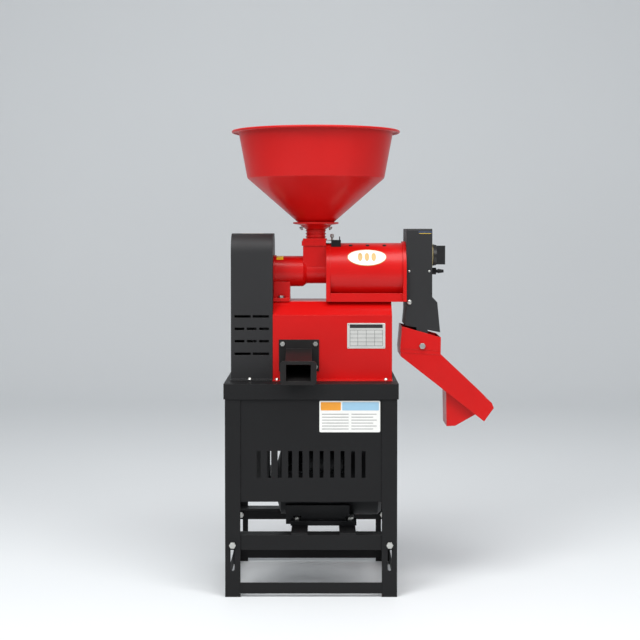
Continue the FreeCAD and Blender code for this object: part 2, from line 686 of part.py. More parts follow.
def make_main_bearings():
    """Two ring bearings in the barrel."""
    rings = []
    for x in ("bearing_flange_x + 6", "barrel_end - bearing_width - 6"):
        ring = cylinder(x, "0", AXIS, "bearing_radius", "bearing_width", "X")
        rings.append(cut(ring, cylinder(x + " - 1", "0", AXIS, "shaft_radius + fit", "bearing_width + 2", "X")))
    done("main_bearings", fuse(*rings))


def make_feed_housing():
    """One casting: bearing barrel, cone step, feed barrel, inlet box and pedestal."""
    flange = "bearing_flange_x"
    outside = (("bearing_flange_x - 2", "barrel_radius + 2"), (flange + " + 6", "barrel_radius + 2"),
               (flange + " + 6", "barrel_radius"), ("barrel_end", "barrel_radius"),
               ("feed_start", "feed_radius"), ("chamber_start", "feed_radius"),
               ("chamber_start", "0"), ("bearing_flange_x - 2", "0"))
    barrel = place(revolution([outside]), "0", "0", AXIS)
    inlet = wide_box("inlet_left", AXIS, "chamber_start - inlet_left", "inlet_half", "inlet_top - collar")
    collar = wide_box("inlet_left - collar_step", AXIS + " + inlet_top - collar",
                      "chamber_start - inlet_left + collar_step", "inlet_half + collar_step", "collar")
    pedestal = wide_box(flange, BOX_TOP, "pedestal_width", "pedestal_depth / 2",
                        "axis_rise - box_height - barrel_radius + 12")
    base = wide_box(flange, BOX_TOP, "pedestal_width", "pedestal_depth / 2 + 22", "pedestal_base")
    bores = [
        cylinder(flange + " + 6", "0", AXIS, "bearing_radius", "bearing_width", "X"),
        cylinder("barrel_end - bearing_width - 6", "0", AXIS, "bearing_radius", "bearing_width", "X"),
        cylinder(flange + " - 3", "0", AXIS, "shaft_radius + 1", "9.5", "X"),
        cylinder(flange + " + 6 + bearing_width", "0", AXIS, "bearing_radius - 4",
                 "barrel_end - 2 * bearing_width - 12 - bearing_flange_x", "X"),
        cylinder("barrel_end - 6.5", "0", AXIS, "shaft_radius + 1", "20", "X"),
        cylinder("feed_start", "0", AXIS, "feed_radius - feed_wall", "chamber_start - feed_start + 1", "X"),
        box("feed_start + 2", "-inlet_half + 7", AXIS, "chamber_start - feed_start - 7", "2 * inlet_half - 14",
            "inlet_top + 1"),
        cylinder(flange + " + pedestal_width / 2", "-pedestal_depth / 2 - 12", BOX_TOP + " - 1",
                 "foot_bolt / 2 + fit", "pedestal_base + 2"),
        cylinder(flange + " + pedestal_width / 2", "pedestal_depth / 2 + 12", BOX_TOP + " - 1",
                 "foot_bolt / 2 + fit", "pedestal_base + 2"),
    ]
    done("feed_housing", cut(fuse(barrel, inlet, collar, pedestal, base), *bores))


def make_feed_screw():
    """A sleeve with a helical flight that pushes the grain into the chamber."""
    root = "(shaft_radius + 4)"
    tip = "(feed_radius - feed_wall - 1)"
    start = "(feed_start + 1)"
    length = "(%s - %s - 1)" % (ROLLER_START, start)
    body = doc.addObject("PartDesign::Body", "Body")
    sleeve = sketch_on(body, "YZ_Plane", circles=[("0", "0", root), ("0", "0", "shaft_radius")])
    pad(body, sleeve, length)
    section = (("1", root + " - 1"), ("6", root + " - 1"), ("5", tip), ("2", tip))
    profile = sketch_on(body, "XZ_Plane", [section])
    flight = body.newObject("PartDesign::AdditiveHelix", "Flight")
    flight.Profile = profile
    flight.ReferenceAxis = (profile, ["H_Axis"])
    flight.Mode = 0
    flight.Growth = 0
    bind(flight, Pitch="(%s - 9) / 2" % length, Height="%s - 9" % length)
    done("feed_screw", place(body, start, "0", AXIS))


def make_milling_roller():
    """A hollow-ended roller with straight milling ribs."""
    length = "(%s - %s)" % (ROLLER_END, ROLLER_START)
    body = extrusion("YZ_Plane", [], length, circles=[("0", "0", "roller_radius"), ("0", "0", "shaft_radius")])
    half = "rib_wall / 2"
    rib_outline = (("-" + half, "roller_radius - 3"), (half, "roller_radius - 3"),
                   (half, "roller_radius + rib_height"), ("-" + half + " + 3", "roller_radius + rib_height"))
    rib = pad(body, sketch_on(body, "YZ_Plane", [rib_outline]), length)
    ring_pattern(body, rib, "rib_count")
    done("milling_roller", place(body, ROLLER_START, "0", AXIS))


def make_roller_nut():
    nut = hexagon(ROLLER_END, "0", AXIS, "2.4 * shaft_radius", "7", "X")
    done("roller_nut", cut(nut, cylinder(ROLLER_END + " - 1", "0", AXIS, "shaft_radius", "12", "X")))


# --- milling chamber -----------------------------------------------------------------------------

SOLE = "(stand_height + box_height + sole_height)"
SCREW_XS = ("cover_screw_first", "cover_screw_first + cover_screw_pitch",
            "cover_screw_first + 2 * cover_screw_pitch")


def arch(x, length, radius, foot):
    """A round-topped solid along X over the main shaft, straight-sided down to a level."""
    round_top = cylinder(x, "0", AXIS, radius, length, "X")
    legs = wide_box(x, foot, length, radius, "%s - (%s)" % (AXIS, foot))
    below = wide_box("(%s) - 1" % x, "stand_height", "(%s) + 2" % length, "2 * (%s)" % radius,
                     "(%s) - stand_height" % foot)
    return cut(fuse(round_top, legs), below)


def make_chamber_base():
    """A sole that is open to the bran box, with an end wall at each side."""
    length = "(head_left - chamber_start)"
    sole = wide_box("chamber_start", BOX_TOP, length, "cover_radius - 2", "sole_height")
    drain = wide_box("cover_start + 4", BOX_TOP + " - 1", "cover_end - cover_start - 10", "40", "sole_height + 2")
    left = arch("chamber_start", "end_wall", "cover_radius", BOX_TOP + " + 1")
    right = arch("cover_end - 2", "head_left - cover_end + 2", "cover_radius + flange_step", BOX_TOP + " + 1")
    screen = "screen_radius + screen_wall + cover_gap / 3"
    bores = [cylinder("chamber_start - 1", "0", AXIS, "feed_radius - feed_wall", "end_wall + 2", "X"),
             cylinder("cover_start - 4", "0", AXIS, screen, "cover_end - cover_start + 5", "X"),
             cylinder("cover_end - 4", "0", AXIS, "outlet_radius", "30", "X")]
    done("chamber_base", cut(fuse(cut(sole, drain), left, right), *bores))


def make_rice_screen():
    """A slotted sheet cylinder whose rows of slots let the bran fall."""
    length = "(cover_end + 1 - seat_gap - %s)" % SCREEN_START
    body = extrusion("YZ_Plane", [], length, circles=[("0", "0", "screen_radius + screen_wall"),
                                                     ("0", "0", "screen_radius")])
    place(body, SCREEN_START, "0", AXIS)
    slots = []
    for row in range(-3, 4):
        for column in range(5):
            slot = place(bind(doc.addObject("Part::Box", "Slot"), Length="22", Width="4", Height="screen_wall * 4"),
                         "9 + %d * (%s - 18) / 5" % (column, length), "-2", "-(screen_radius + 3 * screen_wall)")
            slots.append(turned(slot, X_AXIS, 22 * row, SCREEN_START, "0", AXIS))
    blade_gap = place(bind(doc.addObject("Part::Box", "Gap"), Length=length + " - 8", Width="blade_wall + 1",
                           Height="20"), "4", "-blade_wall / 2 - 0.5", "screen_radius - 6")
    slots.append(turned(blade_gap, X_AXIS, value("screw_angle"), SCREEN_START, "0", AXIS))
    done("rice_screen", cut(body, *slots))


def make_husking_blade():
    """A bar along the chamber, set towards the roller by the cover screws."""
    length = "(cover_end - 12 - %s)" % SCREEN_START
    bar = place(bind(doc.addObject("Part::Box", "Bar"), Length=length, Width="blade_wall",
                     Height="cover_radius - cover_wall - screen_radius + 2.7"),
                "6", "-blade_wall / 2", "screen_radius - 3")
    done("husking_blade", turned(bar, X_AXIS, value("screw_angle"), SCREEN_START, "0", AXIS))


def make_milling_cover():
    """A cast half-round cover over the screen, with a boss under each adjusting screw."""
    length = "(cover_end - 2 - cover_start)"
    outer = arch("cover_start", length, "cover_radius", SOLE)
    inner = arch("cover_start - 1", length + " + 2", "cover_radius - cover_wall", SOLE + " - 1")
    lid = cut(outer, inner)
    holes = []
    bosses = []
    for x in SCREW_XS:
        boss = place(bind(doc.addObject("Part::Cylinder", "Boss"), Radius="8", Height="cover_wall + 3"), x, "0",
                     "cover_radius - cover_wall + 0.1")
        bosses.append(turned(boss, X_AXIS, value("screw_angle"), "0", "0", AXIS))
        hole = place(bind(doc.addObject("Part::Cylinder", "Hole"), Radius="4 + fit", Height="30"), x, "0",
                     "cover_radius - 20")
        holes.append(turned(hole, X_AXIS, value("screw_angle"), "0", "0", AXIS))
    done("milling_cover", cut(fuse(lid, *bosses), *holes))


def make_cover_screws():
    """Three set screws with lock nuts that press on the husking blade."""
    screws = []
    for x in SCREW_XS:
        shank = place(bind(doc.addObject("Part::Cylinder", "Shank"), Radius="4", Height="cover_wall + 12.6"),
                      x, "0", "cover_radius - cover_wall")
        nut = place(bind(doc.addObject("Part::Prism", "Nut"), Circumradius="7.5", Height="5"), x, "0",
                    "cover_radius + 3.1")
        nut.Polygon = 6
        screws.append(turned(fuse(shank, nut), X_AXIS, value("screw_angle"), "0", "0", AXIS))
    done("cover_screws", fuse(*screws))


# --- grain inlet ---------------------------------------------------------------------------------


def make_slide_gate():
    """A sliding plate between the inlet collar and the throat."""
    plate = wide_box("inlet_left - 2", GATE_BOTTOM, "gate_length", "gate_half", "gate_wall")
    done("slide_gate", plate)
    stem_x = "inlet_left - 2 + gate_length - gate_pull"
    profile = (("0", "0"), ("2.5", "0"), ("2.5", "5"), ("knob_radius", "6.5"), ("knob_radius", "12.5"),
               ("knob_radius - 1.2", "14"), ("0", "14"))
    done("gate_knob", place(revolution([profile], "V_Axis"), stem_x, "0", GATE_BOTTOM + " + gate_wall"))


def make_gate_guide():
    """A small strip on the cover that keeps the open gate straight, with an upright pin."""
    strip = box("cover_start + 2", "-gate_half - 10", AXIS + " + 50", "23", "9.5",
                "inlet_top - 50 + gate_gap + gate_wall")
    seat = cylinder("cover_start", "0", AXIS, "cover_radius + 0.05", "40", "X")
    pin = cylinder("cover_start + 22", "-gate_half - 6", COLLAR_TOP + " - 2", "1.2", "13")
    done("gate_guide", fuse(cut(strip, seat), pin))


def make_throat():
    """A ribbed neck that opens to a flanged cone under the hopper."""
    neck = "throat_radius"
    slope = "(cone_radius - cone_foot) / cone_rise"
    cone_in = "cone_foot + 1.5 * hopper_wall + seat_gap"
    profile = [("16", "0"), ("27", "0"), ("27", "3"), (neck, "3.5")]
    for ring in range(3):
        start = "%d * 7.5 + 5" % ring
        profile += [(neck, start), (neck + " + 2", start + " + 1.2"), (neck + " + 2", start + " + 2.6"),
                    (neck, start + " + 3.8")]
    profile += [(neck + " + 3", "neck_height"), (neck + " + 15", "neck_height + 9"),
                ("rim_radius", "neck_height + 12"), ("rim_radius", "neck_height + 16"),
                (cone_in + " + 16 * " + slope, "neck_height + 16"), (cone_in, "neck_height"), ("16", "neck_height")]
    body = place(revolution([profile], "V_Axis"), INLET_X, "0", GATE_TOP)
    rails = [box("inlet_left", "%d * (gate_half + gate_gap + 2.7) - 2.7" % side, COLLAR_TOP,
                 "chamber_start - inlet_left", "5.4", "2 * gate_gap + gate_wall") for side in (-1, 1)]
    shoe = wide_box("inlet_left", GATE_TOP, "chamber_start - inlet_left", "gate_half + gate_gap + 5.4", "3")
    well = cylinder(INLET_X, "0", GATE_TOP + " - 1", "16", "10")
    done("throat", cut(fuse(body, cut(shoe, well), *rails), *hopper_bolt_holes()))


HOPPER_BASE = "(%s + neck_height)" % GATE_TOP


def make_hopper():
    """A spun sheet cone with an upright band and a rolled lip."""
    wall = "hopper_wall"
    outline = (("cone_foot", "0"), ("cone_radius", "cone_rise"), ("mouth_radius", "cone_rise + band_height"),
               ("mouth_radius + lip_width", "cone_rise + band_height + lip_rise"),
               ("mouth_radius + lip_width", "cone_rise + band_height + lip_rise - " + wall),
               ("mouth_radius + " + wall, "cone_rise + band_height - " + wall),
               ("cone_radius + 1.5 * " + wall, "cone_rise"), ("cone_foot + 1.5 * " + wall, "0"))
    spun = place(revolution([outline], "V_Axis"), INLET_X, "0", HOPPER_BASE)
    roll = doc.addObject("Part::Torus", "Roll")
    bind(roll, Radius1="mouth_radius + lip_width", Radius2="bead")
    place(roll, INLET_X, "0", HOPPER_BASE + " + cone_rise + band_height + lip_rise - bead")
    done("hopper", cut(fuse(spun, roll), *hopper_bolt_holes()))


CONE_TILT = "atan((cone_radius - cone_foot) / cone_rise)"
BOLT_RISE = 6.5


def on_cone(item, side):
    """An item made along +Z, set square to the cone at a hopper bolt, pointing outwards."""
    radius = "(cone_foot + %s * (cone_radius - cone_foot) / cone_rise)" % BOLT_RISE
    tilt = 90 + value(CONE_TILT)
    return turned(item, Y_AXIS, side * tilt, "%s + %d * %s" % (INLET_X, side, radius), "0",
                  "%s + %s" % (HOPPER_BASE, BOLT_RISE))


def hopper_bolt_holes():
    return [on_cone(cylinder("0", "0", "-8", "2.5 + fit", "20"), side) for side in (-1, 1)]


def make_hopper_bolts():
    """Two bolts square to the cone that hold the hopper in the throat."""
    bolts = []
    for side in (-1, 1):
        shank = cylinder("0", "0", "-2", "2.5", "12")
        head = cone("0", "0", "-2.3", "3.6", "4.6", "2")
        nut = hexagon("0", "0", "5.2", "8", "4")
        bolts.append(on_cone(fuse(shank, head, nut), side))
    done("hopper_bolts", fuse(*bolts))


# --- bran box and fan ----------------------------------------------------------------------------


def make_bran_box():
    """A sheet box with a sloping shoulder at the front, open underneath."""
    outline = (("-box_half", "0"), ("-box_half", "box_height - slope_drop"), ("-box_half + slope_run", "box_height"),
               ("box_half", "box_height"), ("box_half", "0"))
    body = extrusion("YZ_Plane", [outline], "box_length")
    shell(body, "box_wall", lambda face: faces_towards(face, -Z_AXIS))
    place(body, "box_left", "0", TOP)
    foot = box("box_left", "-box_half - 26", TOP, "box_length", "27", "box_wall")
    rear_foot = box("box_left", "box_half - 1", TOP, "box_length", "26", "box_wall")
    openings = [
        wide_box("cover_start + 4", BOX_TOP + " - 10", "cover_end - cover_start - 40", "35", "20"),
        cylinder("box_left - 1", "0", FAN_AXIS, "fan_bearing_radius + 0.1", "10", "X"),
        box("outlet_x - duct_width / 2 + duct_wall", "-box_half - 5", TOP + " + duct_top - duct_height + duct_wall",
            "duct_width - 2 * duct_wall", "20", "duct_height - 2 * duct_wall"),
    ]
    openings += outlet_bolt_holes()
    for x in ("box_left + 10", "box_left + box_length - 15"):
        openings.append(cylinder(x, "-box_half - 12", TOP + " - 1", "3 + fit", "box_wall + 2"))
    done("bran_box", cut(fuse(body, foot, rear_foot), *openings))


def make_fan_housing():
    """A drum with a straight outlet to the front of the box."""
    width = "fan_width"
    drum = cylinder("fan_x", "0", FAN_AXIS, "scroll_radius", width, "X")
    low = TOP + " + duct_top - duct_height"
    throat = box("fan_x", "-box_half + box_wall", low, width, "box_half", "duct_height")
    hollow = cylinder("fan_x + box_wall", "0", FAN_AXIS, "scroll_radius - box_wall", "fan_width - 2 * box_wall", "X")
    passage = box("fan_x + box_wall", "-box_half", low + " + box_wall", "fan_width - 2 * box_wall", "box_half",
                  "duct_height - 2 * box_wall")
    inlet = cylinder("fan_x + fan_width - 10", "0", FAN_AXIS, "0.55 * impeller_radius", "20", "X")
    shaft_hole = cylinder("fan_x - 5", "0", FAN_AXIS, "fan_bearing_radius - 4", "10", "X")
    done("fan_housing", cut(fuse(drum, throat), hollow, passage, inlet, shaft_hole))


def make_fan_bearings():
    """A flanged bearing tube between the box wall and the drum."""
    profile = (("-3", "fan_shaft_radius + fit"), ("-3", "fan_bearing_radius + 10"),
               ("0", "fan_bearing_radius + 10"), ("0", "fan_bearing_radius"),
               ("fan_x - box_left", "fan_bearing_radius"), ("fan_x - box_left", "fan_shaft_radius + fit"))
    done("fan_bearings", place(revolution([profile]), "box_left", "0", FAN_AXIS))


def make_fan_rotor():
    start = "(fan_groove_x - fan_belt_width / 2 - 8)"
    end = "(fan_x + fan_width - 14)"
    done("fan_shaft", cylinder(start, "0", FAN_AXIS, "fan_shaft_radius", "%s - %s" % (end, start), "X"))
    length = "(fan_width - 2 * box_wall - 12)"
    body = extrusion("YZ_Plane", [], "2", circles=[("0", "0", "impeller_radius"), ("0", "0", "fan_shaft_radius")])
    hub = sketch_on(body, "YZ_Plane", circles=[("0", "0", "fan_shaft_radius + 8"), ("0", "0", "fan_shaft_radius")])
    pad(body, hub, "24")
    blade = (("-6", "fan_shaft_radius + 7"), ("-4", "fan_shaft_radius + 7"),
             ("10", "impeller_radius - 3"), ("8", "impeller_radius - 2"))
    vane = pad(body, sketch_on(body, "YZ_Plane", [blade]), length)
    ring_pattern(body, vane, "blade_count")
    done("fan_impeller", place(body, "fan_x + box_wall + 5", "0", FAN_AXIS))


OUTLET_BOLTS = [("outlet_x + %d * 38.5" % side, "%s + %s" % (TOP, height))
                for side in (-1, 1) for height in ("flange_low + 10", "flange_low + flange_height - 10")]


def outlet_bolt_holes():
    return [cylinder(x, "-box_half - 5", z, "3 + fit", "10", "Y") for x, z in OUTLET_BOLTS]


def make_bran_outlet():
    """A flanged duct that slopes down to a framed mouth in front of the stand."""
    top = "duct_top"
    low = "duct_top - duct_height"
    far = "-box_half - duct_reach"
    outer = (("-box_half", low), ("-box_half", top), (far, top + " - duct_fall"), (far, low + " - duct_fall"))
    duct = place(extrusion("YZ_Plane", [outer], "duct_width", middle=True), "outlet_x", "0", TOP)
    inner = (("-box_half + 1", low + " + duct_wall"), ("-box_half + 1", top + " - duct_wall"),
             (far + " - 1", top + " - duct_wall - duct_fall"), (far + " - 1", low + " + duct_wall - duct_fall"))
    hollow = place(extrusion("YZ_Plane", [inner], "duct_width - 2 * duct_wall", middle=True), "outlet_x", "0", TOP)
    flange = box("outlet_x - flange_width / 2", "-box_half - 2", TOP + " + flange_low", "flange_width", "2",
                 "flange_height")
    frame = extrusion("XZ_Plane", [(("-lip_width / 2", "0"), ("lip_width / 2", "0"),
                                    ("lip_width / 2", "lip_height"), ("-lip_width / 2", "lip_height"))],
                      "lip_depth")
    round_edges(frame, "9", lambda edge: runs_along(edge, Y_AXIS))
    place(frame, "outlet_x", far + " + lip_depth", TOP + " + 1")
    done("bran_outlet", cut(fuse(duct, flange, frame), hollow, *outlet_bolt_holes()))


def make_outlet_bolts():
    """Four bolts through the outlet's flange and the box's front."""
    bolts = []
    for x, z in OUTLET_BOLTS:
        shank = cylinder(x, "-box_half - 6", z, "3", "box_wall + 12", "Y")
        bolts.append(fuse(shank, hexagon(x, "-box_half - 7", z, "10", "5", "Y")))
    done("outlet_bolts", fuse(*bolts))


# --- belt guard ----------------------------------------------------------------------------------


def make_belt_guard():
    """A round-shouldered sheet cover over the belts, slotted at its front and open underneath."""
    length = "(%s - guard_left)" % GUARD_RIGHT
    outline = (("-guard_half", "0"), ("-guard_half", "guard_height"), ("guard_half", "guard_height"),
               ("guard_half", "0"))
    body = extrusion("YZ_Plane", [outline], length)
    round_edges(body, "guard_round",
                lambda edge: runs_along(edge, X_AXIS) and edge.BoundBox.ZMin > value("guard_height") / 2)
    shell(body, "guard_wall", lambda face: faces_towards(face, -Z_AXIS))
    place(body, "guard_left", "0", TOP)
    lip = box("guard_left", "-guard_half - 22", TOP, length, "23", "plate")
    rear_lip = box("guard_left", "guard_half - 1", TOP, length, "23", "plate")
    wall_x = GUARD_RIGHT + " - 2 * guard_wall"
    tools = [cylinder(wall_x, "0", AXIS, "barrel_radius + 4", "4 * guard_wall", "X"),
             wide_box(wall_x, TOP + " - 1", "4 * guard_wall", "barrel_radius + 4", "axis_rise + 1")]
    for height, count, width in ((149, 2, 38), (120, 3, 23), (91, 3, 23), (61.5, 2, 38)):
        pitch = "(%s - 12) / %d" % (length, count)
        for column in range(count):
            centre = "guard_left + 6 + %s * (%d + 0.5)" % (pitch, column)
            tools.append(box("%s - %s / 2" % (centre, width), "-guard_half - 5",
                             "%s + %s - guard_vent / 2" % (TOP, height), width, "10", "guard_vent"))
    tools.append(cylinder("guard_left + 44.5", "-guard_half - 12", TOP + " - 1", "3 + fit", "plate + 2"))
    done("belt_guard", cut(fuse(body, lip, rear_lip), *tools))


def make_stand_screws():
    """Round-headed screws through the feet of the guard and the box, and the pedestal's bolts."""
    screws = []
    for x, y, seat in (("guard_left + 44.5", "-guard_half - 12", "plate"),
                       ("box_left + 10", "-box_half - 12", "box_wall"),
                       ("box_left + box_length - 15", "-box_half - 12", "box_wall")):
        head = cone(x, y, "%s + %s" % (TOP, seat), "6", "3.5", "4")
        screws.append(fuse(cylinder(x, y, TOP, "3", seat), head))
    for side in (-1, 1):
        x = "bearing_flange_x + pedestal_width / 2"
        y = "%d * (pedestal_depth / 2 + 12)" % side
        head = hexagon(x, y, BOX_TOP + " + pedestal_base", "13", "5.5")
        screws.append(fuse(cylinder(x, y, BOX_TOP, "4", "pedestal_base + 1"), head))
    done("stand_screws", fuse(*screws))


# --- discharge head, valve and switch ------------------------------------------------------------


def make_discharge_head():
    """A cast head round the chamber's outlet, flared at its foot, with lugs for the chute."""
    outline = (("head_left", AXIS + " - 92"), ("head_left", "stand_height + head_top"),
               ("head_right", "stand_height + head_top"), ("head_right", AXIS + " - 59"),
               ("head_right + head_flare", AXIS + " - 72"), ("head_right + head_flare + 7", AXIS + " - 143"),
               ("head_left - 3", AXIS + " - 126"))
    body = extrusion("XZ_Plane", [outline], "2 * head_half", middle=True)
    round_edges(body, "5", lambda edge: runs_along(edge, X_AXIS) and edge.BoundBox.ZMin > value(AXIS))
    shell(body, "head_wall", lambda face: face.normalAt(0, 0).z < -0.97)
    lugs = []
    for side in (-1, 1):
        inner = "%d * (head_half - head_wall / 2) - head_wall / 2" % side
        ear = cylinder("pivot_x", inner, PIVOT_Z, "lug_radius", "head_wall", "Y")
        web = box("pivot_x - lug_radius", inner, PIVOT_Z, "2 * lug_radius", "head_wall",
                  "%s - 110 - %s" % (AXIS, PIVOT_Z))
        lugs += [ear, web]
    tools = [cylinder("head_left - 1", "0", AXIS, "outlet_radius", "head_wall + 2", "X"),
             cylinder("head_right - head_wall - 1", "0", AXIS, "screw_radius + fit", "head_wall + 2", "X")]
    tools += [cylinder("pivot_x", "%d * head_half - 6" % side, PIVOT_Z, "pivot_radius + fit", "12", "Y")
              for side in (-1, 1)]
    done("discharge_head", cut(fuse(body, *lugs), *tools))


def make_discharge_valve():
    """A cone that a spring holds towards the chamber's outlet."""
    start = "head_left + head_wall + seat_gap"
    profile = (("0", "screw_radius + fit"), ("0", "valve_radius"), ("3", "valve_radius"),
               ("valve_length", "spring_radius + 5"), ("valve_length", "spring_radius + 2"),
               ("valve_length - 3", "spring_radius + 2"), ("valve_length - 3", "screw_radius + fit"))
    done("discharge_valve", place(revolution([profile]), start, "0", AXIS))


def make_valve_spring():
    """A compression spring between the valve and the pressure screw's collar."""
    start = "(head_left + head_wall + seat_gap + valve_length - 3)"
    length = "(head_right - head_wall - 12 - %s)" % start
    helix = Part.makeHelix(value(length + " - 2 * wire - 0.6") / value("spring_turns"),
                           value(length + " - 2 * wire - 0.6"), value("spring_radius"))
    wire_start = FreeCAD.Vector(value("spring_radius"), 0, 0)
    ring = Part.Wire(Part.makeCircle(value("wire / 2"), wire_start, Y_AXIS))
    coil = Part.Wire(helix).makePipeShell([ring], True, True)
    spring = doc.addObject("Part::Feature", "Spring")
    spring.Shape = coil
    place(spring, start + " + wire + 0.3", "0", AXIS, "X")
    done("valve_spring", spring)


def make_pressure_screw():
    """A screw with a spring collar inside the head and a domed thumb end outside."""
    inside = "(head_right - head_wall - 12)"
    neck = "(head_right + nut_length)"
    tip = "(head_left + head_wall + 2)"
    shank = cylinder(tip, "0", AXIS, "screw_radius", "%s - %s + 5" % (neck, tip), "X")
    collar = cylinder(inside, "0", AXIS, "spring_radius + 3", "3", "X")
    dome = cone(neck + " + 4", "0", AXIS, "dome_radius", "dome_radius - 2", "dome_length", "X")
    done("pressure_screw", fuse(shank, collar, dome))


def make_lock_nut():
    nut = hexagon("head_right", "0", AXIS, "nut_flats", "nut_length", "X")
    done("lock_nut", cut(nut, cylinder("head_right - 1", "0", AXIS, "screw_radius + fit", "nut_length + 2", "X")))


def make_switch():
    """A rotary power switch on the head's right wall: plate and turning knob."""
    z = "stand_height + switch_rise"
    plate_half = "(switch_knob_radius + 3)"
    plate = wide_box("head_right", z + " - " + plate_half, "switch_plate / 2", plate_half, "2 * " + plate_half)
    body = cylinder("head_right", "0", z, "switch_knob_radius - 3", "switch_plate", "X")
    done("switch_body", fuse(plate, body))
    start = "head_right + switch_plate + 0.3"
    skirt = cone(start, "0", z, "switch_knob_radius", "switch_knob_radius - 2", "switch_knob_length", "X")
    grip = box(start, "-grip_wall / 2", z + " - grip_height / 2", "switch_knob_length + grip_length", "grip_wall",
               "grip_height")
    done("switch_knob", fuse(skirt, grip))


# --- chute ---------------------------------------------------------------------------------------


def make_chute():
    """A tilting sheet chute: a collar round the head's foot, a closed run and an open mouth."""
    def from_pivot(x, height):
        return "pivot_x + %s" % x, "%s + %s" % (PIVOT_Z, height)

    outline = [from_pivot(*point) for point in (
        ("-47.5", "46"), ("44", "20"), ("43.5", "-20"), ("146.5", "-117"), ("149.5", "-122.5"),
        ("164.5", "-135"), ("169.5", "-147"), ("146.5", "-179"), ("-50.5", "-25"), ("-52", "-8"))]
    body = extrusion("XZ_Plane", [outline], "2 * chute_half", middle=True)

    def opened(face):
        normal = face.normalAt(0, 0)
        return (normal.z > 0.9 and normal.x > 0.1) or (normal.x > 0.6 and -0.85 < normal.z < -0.3)

    shell(body, "chute_wall", opened)
    spout_outline = [from_pivot(*point) for point in (
        ("58", "-108.9"), ("59.5", "-192.5"), ("80", "-191.5"), ("128.5", "-164"))]
    spout = extrusion("XZ_Plane", [spout_outline], "1.5 * chute_half", middle=True)
    shell(spout, "chute_wall", lambda face: abs(face.normalAt(0, 0).y) < 0.1 and face.normalAt(0, 0).z > 0.6
          or face.normalAt(0, 0).z < -0.97)
    bore = cylinder("pivot_x", "-chute_half - 1", PIVOT_Z, "pivot_radius + fit", "2 * chute_half + 2", "Y")
    drain = extrusion("XZ_Plane", [[from_pivot(*point) for point in (
        ("64", "-106"), ("64", "-124"), ("116", "-164"), ("116", "-146"))]], "1.3 * chute_half", middle=True)
    done("chute", cut(fuse(body, spout), bore, drain))


def make_chute_pivots():
    """The two shouldered bolts that the chute tilts on."""
    pivots = []
    for side in (-1, 1):
        if side > 0:
            inner = "head_half - head_wall"
            head_y = "chute_half + seat_gap"
        else:
            inner = "-chute_half - seat_gap"
            head_y = "-chute_half - seat_gap - 6"
        shank = cylinder("pivot_x", inner, PIVOT_Z, "pivot_radius", "chute_half - head_half + head_wall + seat_gap", "Y")
        head = hexagon("pivot_x", head_y, PIVOT_Z, "13", "6", "Y")
        pivots.append(fuse(shank, head))
    done("chute_pivots", fuse(*pivots))


def make_broken_rice_sieve():
    """A slotted plate that lies on the chute's floor above the small spout."""
    lean = -math.degrees(math.atan2(154, 197))
    plate = place(bind(doc.addObject("Part::Box", "Sieve"), Length="96", Width="2 * chute_half - 2 * chute_wall - 1",
                       Height="1.2"), "70", "-chute_half + chute_wall + 0.5", "chute_wall + 0.05")
    slots = []
    for column in range(6):
        slots.append(place(bind(doc.addObject("Part::Box", "Slot"), Length="4", Width="chute_half", Height="6"),
                           "%d" % (80 + 14 * column), "-chute_half / 2", "-2"))
    sieve = turned(cut(plate, *slots), Y_AXIS, -lean, "pivot_x - 50.5", "0", PIVOT_Z + " - 25")
    done("broken_rice_sieve", sieve)


# --- build ---------------------------------------------------------------------------------------

MAKERS = (
    make_top_plate, make_legs, make_bottom_rails, make_front_panel, make_crossbars, make_motor_rails,
    make_carriage_bolts, make_foot_bolts, make_motor_housing, make_end_shields, make_motor_cowl,
    make_terminal_box, make_capacitor_covers, make_motor_shaft, make_motor_fan, make_main_pulley,
    make_motor_pulley, make_fan_pulley, make_belts, make_main_shaft, make_main_bearings, make_feed_housing,
    make_feed_screw, make_milling_roller, make_roller_nut, make_chamber_base, make_rice_screen,
    make_husking_blade, make_milling_cover, make_cover_screws, make_slide_gate, make_gate_guide, make_throat,
    make_hopper, make_hopper_bolts, make_bran_box, make_fan_housing, make_fan_bearings, make_fan_rotor,
    make_bran_outlet, make_outlet_bolts, make_belt_guard, make_stand_screws, make_discharge_head,
    make_discharge_valve, make_valve_spring, make_pressure_screw, make_lock_nut, make_switch, make_chute,
    make_chute_pivots, make_broken_rice_sieve,
)

for make in MAKERS:
    make()
doc.recompute()

failed = [item.Label for item in doc.Objects if "Invalid" in item.State or "Error" in item.State]
bad = [part.Label for part in parts_made if part.Shape.isNull() or not part.Shape.isValid()]
if failed or bad:
    raise RuntimeError("failed objects: %s; bad shapes: %s" % (failed, bad))

os.makedirs("parts", exist_ok=True)
for part in parts_made:
    part.Shape.exportStep("parts/%s.step" % part.Label)
print("sub-parts:", len(parts_made))
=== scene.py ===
import json
import math

